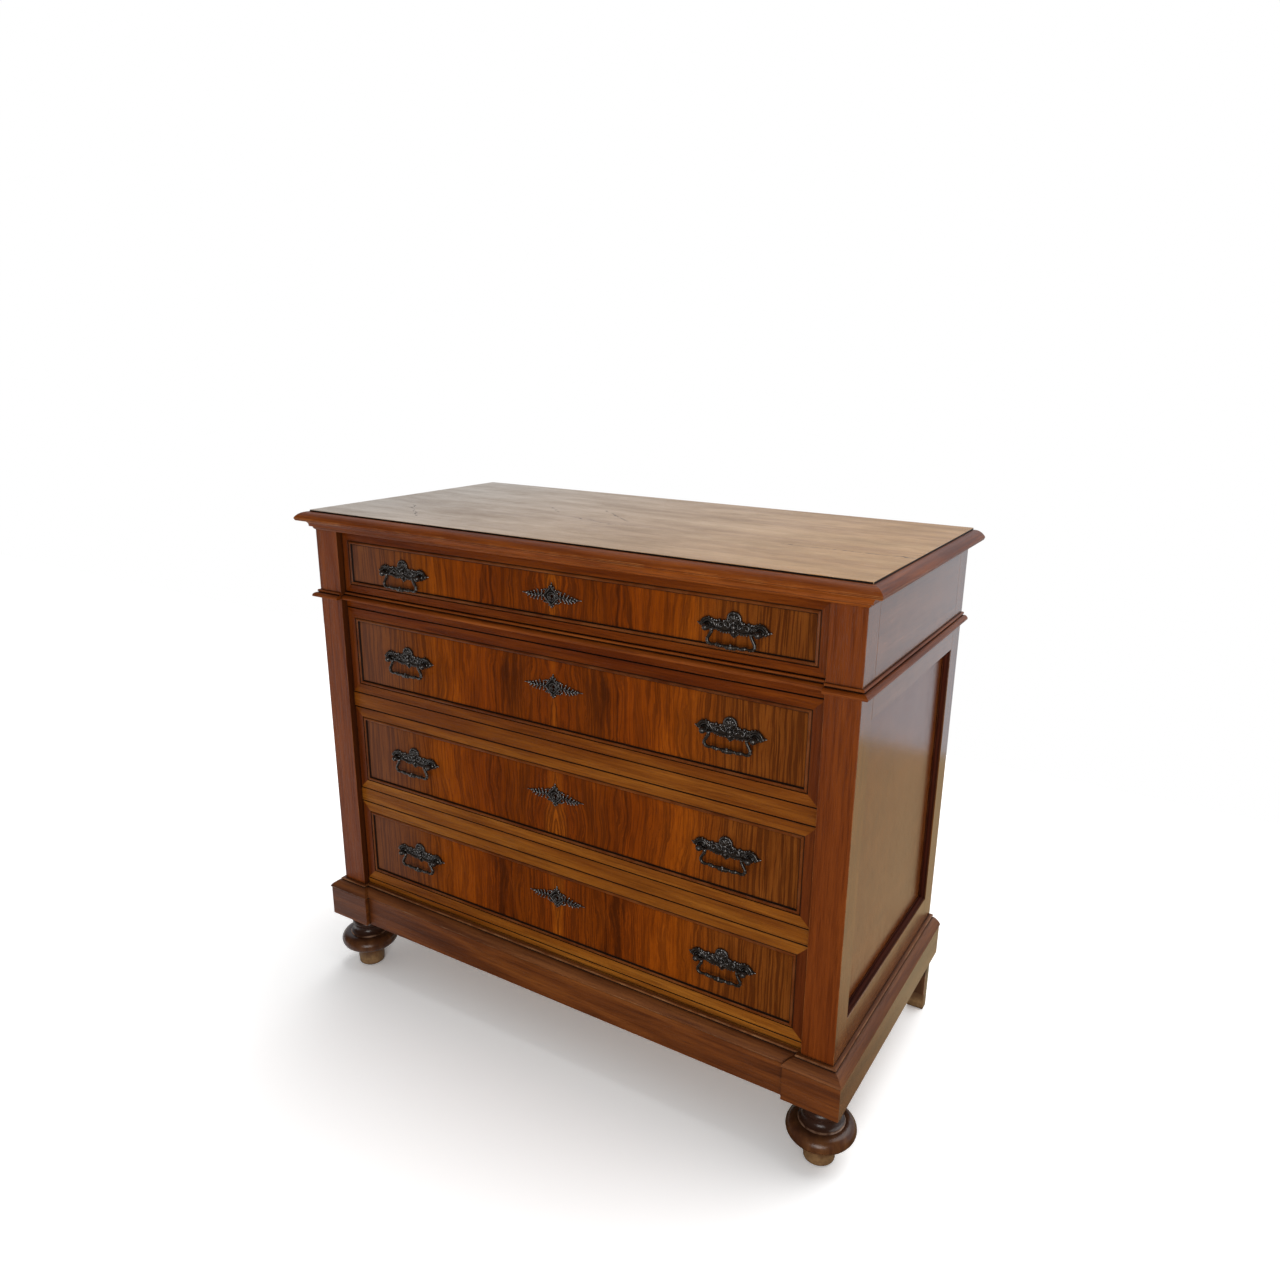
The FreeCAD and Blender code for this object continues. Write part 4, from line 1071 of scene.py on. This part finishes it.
def ball(cast, x, z, radius, rise, deep=1.0):
    """A dome of the casting, in millimetres: right and up of its middle, and how far proud its centre is."""
    size = Matrix.Diagonal((radius, radius * deep, radius, 1.0))
    add_copy(cast, drop_of_wax, Matrix.Translation(Vector((x, -rise, z)) * MM) @ size)


def trail(cast, points, thick, rise):
    """A tapering rib of the casting through (x, z) points; thick and rise go from first to last."""
    line = [Vector(p) for p in points]
    lengths = [(b - a).length for a, b in zip(line, line[1:])]
    whole, done = sum(lengths), 0.0
    for a, b, length in zip(line, line[1:], lengths):
        here = thick[0] + (thick[1] - thick[0]) * done / whole
        count = max(2, int(length / max(0.5 * here, 0.35)))
        for i in range(count):
            share = (done + length * i / count) / whole
            spot = a.lerp(b, i / count)
            ball(cast, spot.x, spot.y, thick[0] + (thick[1] - thick[0]) * share,
                 rise[0] + (rise[1] - rise[0]) * share)
        done += length
    ball(cast, line[-1].x, line[-1].y, thick[1], rise[1])


SCROLL_STEPS = 14


def scroll(cast, x, z, radius, start, sweep, thick, rise, end_radius=None):
    """A curling rib: an arc about (x, z), in degrees, that may close in on its middle."""
    last = radius if end_radius is None else end_radius
    points = []
    for i in range(SCROLL_STEPS + 1):
        turn = math.radians(start + sweep * i / SCROLL_STEPS)
        reach = radius + (last - radius) * i / SCROLL_STEPS
        points.append((x + reach * math.cos(turn), z + reach * math.sin(turn)))
    trail(cast, points, thick, rise)


WEB_BACK = 2.0                  # the web starts behind the wood's face and is cut flat there


def web(cast, points, rise):
    """The flat web of a casting: an outline of (x, z) points, out to its rise over the wood."""
    rim = [cast.verts.new(Vector((x, WEB_BACK, z)) * MM) for x, z in points]
    made = bmesh.ops.extrude_face_region(cast, geom=[cast.faces.new(rim)])["geom"]
    bmesh.ops.translate(cast, vec=(0.0, -(rise + WEB_BACK) * MM, 0.0),
                        verts=[v for v in made if isinstance(v, bmesh.types.BMVert)])


def poured(cast, name, flat_back=True):
    """Runs a casting's ribs together into one skin, and cuts it flat where it lies on the wood."""
    bmesh.ops.recalc_face_normals(cast, faces=cast.faces)
    made = as_object(name, cast)
    melt = made.modifiers.new("melt", "REMESH")
    melt.mode = "VOXEL"
    melt.voxel_size = VOXEL * MM
    ease = made.modifiers.new("ease", "SMOOTH")
    ease.iterations = 1
    ease.factor = 0.4
    thin = made.modifiers.new("thin", "DECIMATE")
    thin.ratio = KEEP_SHARE
    settle(made)
    skin = bmesh.new()
    skin.from_mesh(made.data)
    bpy.data.objects.remove(made)
    if flat_back:
        cut = bmesh.ops.bisect_plane(skin, geom=skin.verts[:] + skin.edges[:] + skin.faces[:], dist=1e-7,
                                     plane_co=(0.0, 0.0, 0.0), plane_no=(0.0, 1.0, 0.0), clear_outer=True)
        rims = [e for e in cut["geom_cut"] if isinstance(e, bmesh.types.BMEdge)]
        bmesh.ops.holes_fill(skin, edges=rims, sides=0)
        bmesh.ops.triangulate(skin, faces=[f for f in skin.faces if len(f.verts) > 4])
    return as_mesh(name, skin)


def both_sides(points):
    """An outline and its mirror image, joined into one."""
    return points + [(-x, z) for x, z in reversed(points)]


cast = bmesh.new()
web(cast, both_sides([
    (0.0, 23.5), (6.5, 22.5), (11.0, 18.5), (11.5, 13.0), (9.5, 9.5), (15.0, 9.5), (19.0, 7.5), (25.0, 9.0),
    (31.0, 6.5), (34.0, 8.5), (40.0, 10.0), (48.0, 8.5), (53.0, 4.0), (60.0, 1.2), (62.5, 0.0), (58.0, -2.2),
    (51.0, -4.5), (45.0, -8.5), (38.0, -8.0), (30.0, -6.0), (26.0, -9.0), (18.0, -9.8), (9.0, -9.5),
    (5.0, -13.0), (0.0, -16.5)]), 1.6)
# crest: a shell of five ribs inside a raised rim
scroll(cast, 0.0, 12.5, 10.8, -30.0, 240.0, (1.55, 1.55), (2.2, 2.2))
ball(cast, 0.0, 22.6, 2.3, 2.4)
for angle in (-62.0, -31.0, 0.0, 31.0, 62.0):
    tip = Vector((math.sin(math.radians(angle)), math.cos(math.radians(angle))))
    trail(cast, [tip * 1.5 + Vector((0.0, 8.5)), tip * 8.2 + Vector((0.0, 9.5))], (1.0, 2.0), (3.4, 2.0))
ball(cast, 0.0, 8.0, 3.2, 3.2)
# middle and drop
ball(cast, 0.0, 0.5, 4.6, 2.2)
ball(cast, 0.0, -6.5, 3.3, 2.6)
trail(cast, [(0.0, -8.0), (0.0, -15.4)], (3.1, 1.2), (2.0, 1.2))
for side in (-1, 1):
    # scrolls of the body, from the middle outwards
    scroll(cast, side * 10.5, 1.5, 6.3, 90.0 - side * 30.0, side * 250.0, (1.8, 1.2), (2.2, 3.0), 1.3)
    scroll(cast, side * 21.5, 0.3, 6.8, 90.0 + side * 80.0, -side * 290.0, (1.9, 1.2), (2.3, 3.2), 1.2)
    scroll(cast, side * 31.5, -0.5, 4.2, 90.0 - side * 60.0, side * 230.0, (1.5, 1.1), (1.8, 2.4), 1.2)
    trail(cast, [(side * 3.5, -5.0), (side * 10.0, -7.6), (side * 18.0, -8.2), (side * 27.0, -6.0),
                 (side * 34.0, -6.2)], (1.5, 1.6), (2.0, 2.0))
    for x, z, radius in ((12.8, 9.0, 2.1), (17.0, 8.0, 1.8), (24.6, 8.4, 2.3), (29.4, 7.2, 1.9),
                         (33.2, 7.4, 1.6), (8.0, -8.8, 1.7), (12.4, -9.5, 1.8), (17.0, -9.8, 1.7),
                         (21.8, -9.2, 1.6), (26.4, -7.8, 1.5)):
        ball(cast, side * x, z, radius, 1.9)
    # leaf arcs over the ball, and the spear end
    scroll(cast, side * EYE_X, -2.5, 11.6, 90.0 + side * 82.0, -side * 158.0, (1.5, 2.4), (2.2, 3.0))
    scroll(cast, side * EYE_X, -2.5, 8.0, 90.0 + side * 70.0, -side * 150.0, (1.2, 1.5), (2.0, 2.6))
    for x, z in ((37.5, 9.8), (42.5, 11.4), (48.0, 10.4)):
        ball(cast, side * x, z - 0.8, 1.7, 2.2)
    trail(cast, [(side * 52.5, -3.5), (side * 57.0, -0.8), (side * 62.0, 0.0)], (3.0, 0.9), (1.8, 1.0))
    ball(cast, side * 56.8, -0.6, 2.8, 2.6)
    trail(cast, [(side * 30.0, -1.0), (side * 36.0, -2.5)], (2.6, 2.2), (1.2, 1.6))
    # post, collar and ball
    for rise in (2.0, 4.0, 6.0, 8.0):
        ball(cast, side * EYE_X, -EYE_DROP, POST_RADIUS, rise)
    ball(cast, side * EYE_X, -EYE_DROP, COLLAR_RADIUS, 2.0, 0.5)
    ball(cast, side * EYE_X, -EYE_DROP, BALL_RADIUS, FIELD_FACE - BALL_FACE)
plate_mesh = poured(cast, "handle_plate_casting")


def rod(work, start, end, radius):
    """A plain round rod from one place to another, its ends softened."""
    way = end - start
    place = Matrix.Translation((start + end) / 2) @ way.to_track_quat("Z", "Y").to_matrix().to_4x4()
    made = bmesh.ops.create_cone(work, cap_ends=True, segments=16, radius1=radius * MM, radius2=radius * MM,
                                 depth=way.length, matrix=place)
    rims = [e for v in made["verts"] for e in v.link_edges if e.calc_face_angle(0.0) > math.radians(60.0)]
    bmesh.ops.bevel(work, geom=list(set(rims)), offset=0.4 * MM, offset_type="OFFSET", segments=2,
                    profile=0.5, affect="EDGES", clamp_overlap=True, material=-1)


for body, handle in zip(DRAWERS, HANDLES):
    work = new_work()
    for side in (-1, 1):
        add_copy(work, plate_mesh, Matrix.Translation(at(side * HANDLE_X, FIELD_FACE, handle)))
        for eye in (-EYE_X, EYE_X):
            x, z = side * HANDLE_X + eye, handle - EYE_DROP
            rod(work, at(x, FIELD_FACE - 1.0, z), at(x, FRONT_BACK + SHANK_OUT, z), SHANK_RADIUS)
            board(work, (x - NUT_HALF, FRONT_BACK, z - NUT_HALF),
                  (x + NUT_HALF, FRONT_BACK + NUT_THICK, z + NUT_HALF), ACROSS, soften=0.6)
    plates = piece(body + "_cast_plates", work, bronze, smooth_below=CAST_CREASE)
    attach(plates, body)
    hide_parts(body + "_handle_plates")


# ---- bails ----
# The drop handles: cast bronze, hooked round at the corners, with a leaf knop in the middle.
# Their turned ends sit in the balls of the posts, so that they swing up.
BAIL_LINE = (                   # across, up and radius, from the pin to the middle
    (42.0, 0.0, 2.2), (36.5, 0.0, 2.4), (32.8, -1.4, 2.8), (33.2, -5.0, 2.8), (36.4, -10.5, 2.8),
    (39.6, -16.0, 2.8), (39.8, -20.2, 2.9), (37.4, -23.6, 3.0), (32.6, -25.2, 2.6), (28.0, -24.2, 2.3),
    (24.2, -23.8, 2.7), (20.4, -24.8, 3.4), (16.4, -25.4, 2.4), (12.0, -24.6, 2.2), (8.4, -24.6, 3.0),
    (5.4, -25.2, 3.7), (2.6, -24.4, 3.0), (0.0, -25.4, 4.2))
cast = bmesh.new()
for side in (-1, 1):
    for (x0, z0, r0), (x1, z1, r1) in zip(BAIL_LINE, BAIL_LINE[1:]):
        trail(cast, [(side * x0, z0), (side * x1, z1)], (r0, r1), (0.0, 0.0))
    for x, z, radius in ((23.4, -24.2, 3.3), (17.6, -25.3, 3.1), (13.0, -24.9, 2.8)):
        ball(cast, side * x, z, radius, 0.0)
    trail(cast, [(side * 2.0, -27.0), (side * 6.5, -28.2), (side * 10.0, -26.4)], (1.9, 1.1), (1.6, 0.8))
    ball(cast, side * 33.2, -1.6, 3.1, 0.0)
ball(cast, 0.0, -27.4, 2.6, 1.4)
ball(cast, 0.0, -21.8, 2.0, 1.2)
bail_mesh = poured(cast, "bail_casting", flat_back=False)
for drawer, handle in zip(DRAWERS, HANDLES):
    for side, word in ((-1, "left"), (1, "right")):
        body = drawer + "_bail_" + word
        pins = at(side * HANDLE_X, BALL_FACE, handle - EYE_DROP)
        work = new_work()
        add_copy(work, bail_mesh, Matrix.Translation(pins))
        drop = piece(body + "_cast", work, bronze, smooth_below=CAST_CREASE)
        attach(drop, body)
        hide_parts(body)


# ---- escutcheons ----
# Cast bronze keyhole plates, pinned on the veneer: a lozenge between two arms of leaves.
# The keyhole is pierced through them into the wood.
cast = bmesh.new()
web(cast, both_sides([
    (0.0, 21.0), (4.0, 15.0), (9.0, 9.0), (15.0, 3.0), (24.0, 2.4), (32.0, 1.0), (42.0, 0.4), (52.0, 0.8),
    (58.0, 0.6), (58.0, -0.6), (52.0, -0.8), (42.0, -2.0), (32.0, -2.6), (24.0, -1.6), (15.0, -2.6),
    (9.0, -8.0), (4.0, -13.5), (0.0, -17.0)]), 0.7)
for a, b in (((0.0, 16.5), (16.0, 0.5)), ((16.0, 0.5), (0.0, -15.5)), ((0.0, -15.5), (-16.0, 0.5)),
             ((-16.0, 0.5), (0.0, 16.5))):
    trail(cast, [a, b], (1.5, 1.5), (2.2, 2.2))
scroll(cast, 0.0, -0.5, 7.4, 0.0, 360.0, (1.3, 1.3), (1.7, 1.7))
for x, z, radius in ((0.0, 18.5, 2.4), (0.0, -17.4, 2.1), (4.6, 15.6, 1.7), (-4.6, 15.6, 1.7),
                     (4.2, -15.2, 1.6), (-4.2, -15.2, 1.6), (8.8, 11.4, 1.5), (-8.8, 11.4, 1.5),
                     (8.6, -11.0, 1.5), (-8.6, -11.0, 1.5)):
    ball(cast, x, z, radius, 1.6)
trail(cast, [(0.0, 19.0), (0.0, 23.4)], (1.8, 0.8), (1.4, 0.9))
trail(cast, [(0.0, -16.5), (0.0, -19.8)], (1.6, 0.8), (1.3, 0.9))
for side in (-1, 1):
    scroll(cast, side * 13.5, 8.0, 3.4, 90.0 - side * 60.0, side * 230.0, (1.3, 0.9), (1.6, 2.0), 1.0)
    scroll(cast, side * 13.0, -8.0, 3.2, 270.0 + side * 60.0, -side * 230.0, (1.3, 0.9), (1.6, 2.0), 1.0)
    trail(cast, [(side * 16.0, 0.5), (side * 24.0, 1.6), (side * 34.0, -0.8), (side * 44.0, -1.2),
                 (side * 52.0, 0.0), (side * 60.8, 0.0)], (1.9, 0.8), (2.6, 1.0))
    for x, z, turn, size in ((19.0, 2.4, 84.0, 6.4), (25.6, 2.6, 66.0, 6.6), (32.4, 0.8, 58.0, 6.0),
                             (39.0, -0.4, 50.0, 5.0), (45.2, -0.4, 42.0, 3.8),
                             (18.4, -1.4, -80.0, 5.8), (24.8, -0.8, -62.0, 7.6), (31.6, -1.8, -56.0, 7.0),
                             (38.4, -2.2, -46.0, 5.4), (45.2, -1.6, -36.0, 3.8)):
        lean = math.radians(turn)
        tip = (side * (x + size * math.cos(lean)), z + size * math.sin(lean))
        trail(cast, [(side * x, z), tip], (1.4, 1.0), (3.0, 1.8))
        ball(cast, tip[0], tip[1], 1.45, 2.2)
    ball(cast, side * 52.0, 0.2, 2.2, 1.5)
work = bmesh.new()
work.from_mesh(poured(cast, "escutcheon_casting"))
pierced = piece("escutcheon_pattern", work, bronze, smooth_below=CAST_CREASE)
cutter = bmesh.new()
keyhole(cutter, Vector((0.0, -3.0, 0.0)) * MM, 16.0 * MM)
cut_away(pierced, cutter)
escutcheon_mesh = pierced.data
bpy.data.objects.remove(pierced)
for body, key in zip(DRAWERS, KEYS):
    work = new_work()
    add_copy(work, escutcheon_mesh, Matrix.Translation(at(0.0, FIELD_FACE, key)))
    plate = piece(body + "_keyhole_plate", work, bronze, smooth_below=CAST_CREASE)
    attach(plate, body)
    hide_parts(body + "_escutcheon")


# ---- floor, light and camera ----
# The chest stands on a pale studio floor, lit softly from above and from a window at its front.
# The camera stands to the right of the front, a little above the top.
FLOOR_LEFT, FLOOR_RIGHT, FLOOR_FRONT, FLOOR_BACK = -9.0, 9.0, -9.0, 1.65
work = bmesh.new()
middle = Matrix.Translation(((FLOOR_LEFT + FLOOR_RIGHT) / 2, (FLOOR_FRONT + FLOOR_BACK) / 2, 0.0))
size = Matrix.Diagonal((FLOOR_RIGHT - FLOOR_LEFT, FLOOR_BACK - FLOOR_FRONT, 1.0, 1.0))
bmesh.ops.create_grid(work, x_segments=1, y_segments=1, size=0.5, matrix=middle @ size)
floor = as_object("studio_floor", work)
paper, tree, place = new_finish("studio_paper")
rays = put(tree, "LightPath").outputs
seen = rays["Is Camera Ray"]
mirrored = math_of(tree, "MAXIMUM", rays["Is Glossy Ray"], rays["Is Transmission Ray"])
x, y = put(tree, "SeparateXYZ", place).outputs[:2]
leftward = less(tree, times(tree, y, 1.05), x)
before = blended(tree, spread(tree, leftward, -0.1, 0.35), (0.10, 0.045, 0.016), (1.15, 1.20, 1.25))
warm = blended(tree, spread(tree, y, -0.3, 0.3), before, (0.62, 0.50, 0.30))
tint = blended(tree, mirrored, (0.84, 0.84, 0.84), warm)
tint = blended(tree, seen, tint, (1.30, 1.305, 1.31))
cover = put(tree, "BsdfDiffuse", tint).outputs[0]
glow = put(tree, "Emission", None, times(tree, seen, 0.03)).outputs[0]
tree.links.new(put(tree, "AddShader", cover, glow).outputs[0], put(tree, "OutputMaterial").inputs[0])
floor.data.materials.append(paper)

world = bpy.data.worlds.new("studio")
bpy.context.scene.world = world
world.use_nodes = True
world.cycles.sampling_method = "NONE"       # so that a sheen shows the walls as they are set below
tree = world.node_tree
tree.nodes.clear()
rays = put(tree, "LightPath").outputs
mirrored = math_of(tree, "MAXIMUM", rays["Is Glossy Ray"], rays["Is Transmission Ray"])
heading = put(tree, "SeparateXYZ", put(tree, "TexCoord").outputs["Generated"]).outputs[1]
wall = blended(tree, spread(tree, heading, -0.1, 0.3), (0.10, 0.055, 0.03), (0.81, 0.86, 0.93))
light = blended(tree, mirrored, (0.44, 0.44, 0.44), wall)
light = blended(tree, rays["Is Camera Ray"], light, (1.0, 1.0, 1.0))
tree.links.new(put(tree, "Background", light, 1.0).outputs[0], put(tree, "OutputWorld").inputs[0])


def lamp(name, kind, where, power):
    """A lamp that looks at the middle of the chest."""
    data = bpy.data.lights.new(name, kind)
    data.energy = power
    data.color = (1.0, 0.99, 0.98)
    made = bpy.data.objects.new(name, data)
    bpy.context.scene.collection.objects.link(made)
    made.location = where
    made.rotation_mode = "QUATERNION"
    made.rotation_quaternion = (Vector((0.0, 0.0, 0.5)) - Vector(where)).to_track_quat("-Z", "Y")
    return data


lamp("open_ceiling", "SUN", (0.6, 1.2, 3.2), 1.9).angle = math.radians(60.0)
lamp("front_window", "AREA", (1.3, -3.0, 0.8), 53.0).size = 1.6

AZIMUTH, ELEVATION, ROLL = (math.radians(d) for d in (31.135, 16.807, 0.701))
FOCAL_PX, FRAME_PX = 978.2, 1280.0
CENTRE_PX = (651.9, 653.2)
CAMERA_PLACE = Vector((0.9654, -1.5079, 1.2789))
SENSOR = 36.0
camera_data = bpy.data.cameras.new("camera")
camera = bpy.data.objects.new("camera", camera_data)
bpy.context.scene.collection.objects.link(camera)
bpy.context.scene.camera = camera
ahead = Vector((-math.sin(AZIMUTH) * math.cos(ELEVATION), math.cos(AZIMUTH) * math.cos(ELEVATION),
                -math.sin(ELEVATION)))
level = ahead.cross(UP).normalized()
upright = level.cross(ahead)
right = level * math.cos(ROLL) + upright * math.sin(ROLL)
upward = upright * math.cos(ROLL) - level * math.sin(ROLL)
turned = Matrix((right, upward, -ahead)).transposed().to_4x4()
camera.matrix_world = Matrix.Translation(CAMERA_PLACE) @ turned
camera_data.sensor_width = SENSOR
camera_data.lens = FOCAL_PX / FRAME_PX * SENSOR
camera_data.shift_x = (FRAME_PX / 2 - CENTRE_PX[0]) / FRAME_PX
camera_data.shift_y = (CENTRE_PX[1] - FRAME_PX / 2) / FRAME_PX
bpy.context.scene.view_settings.view_transform = "Standard"
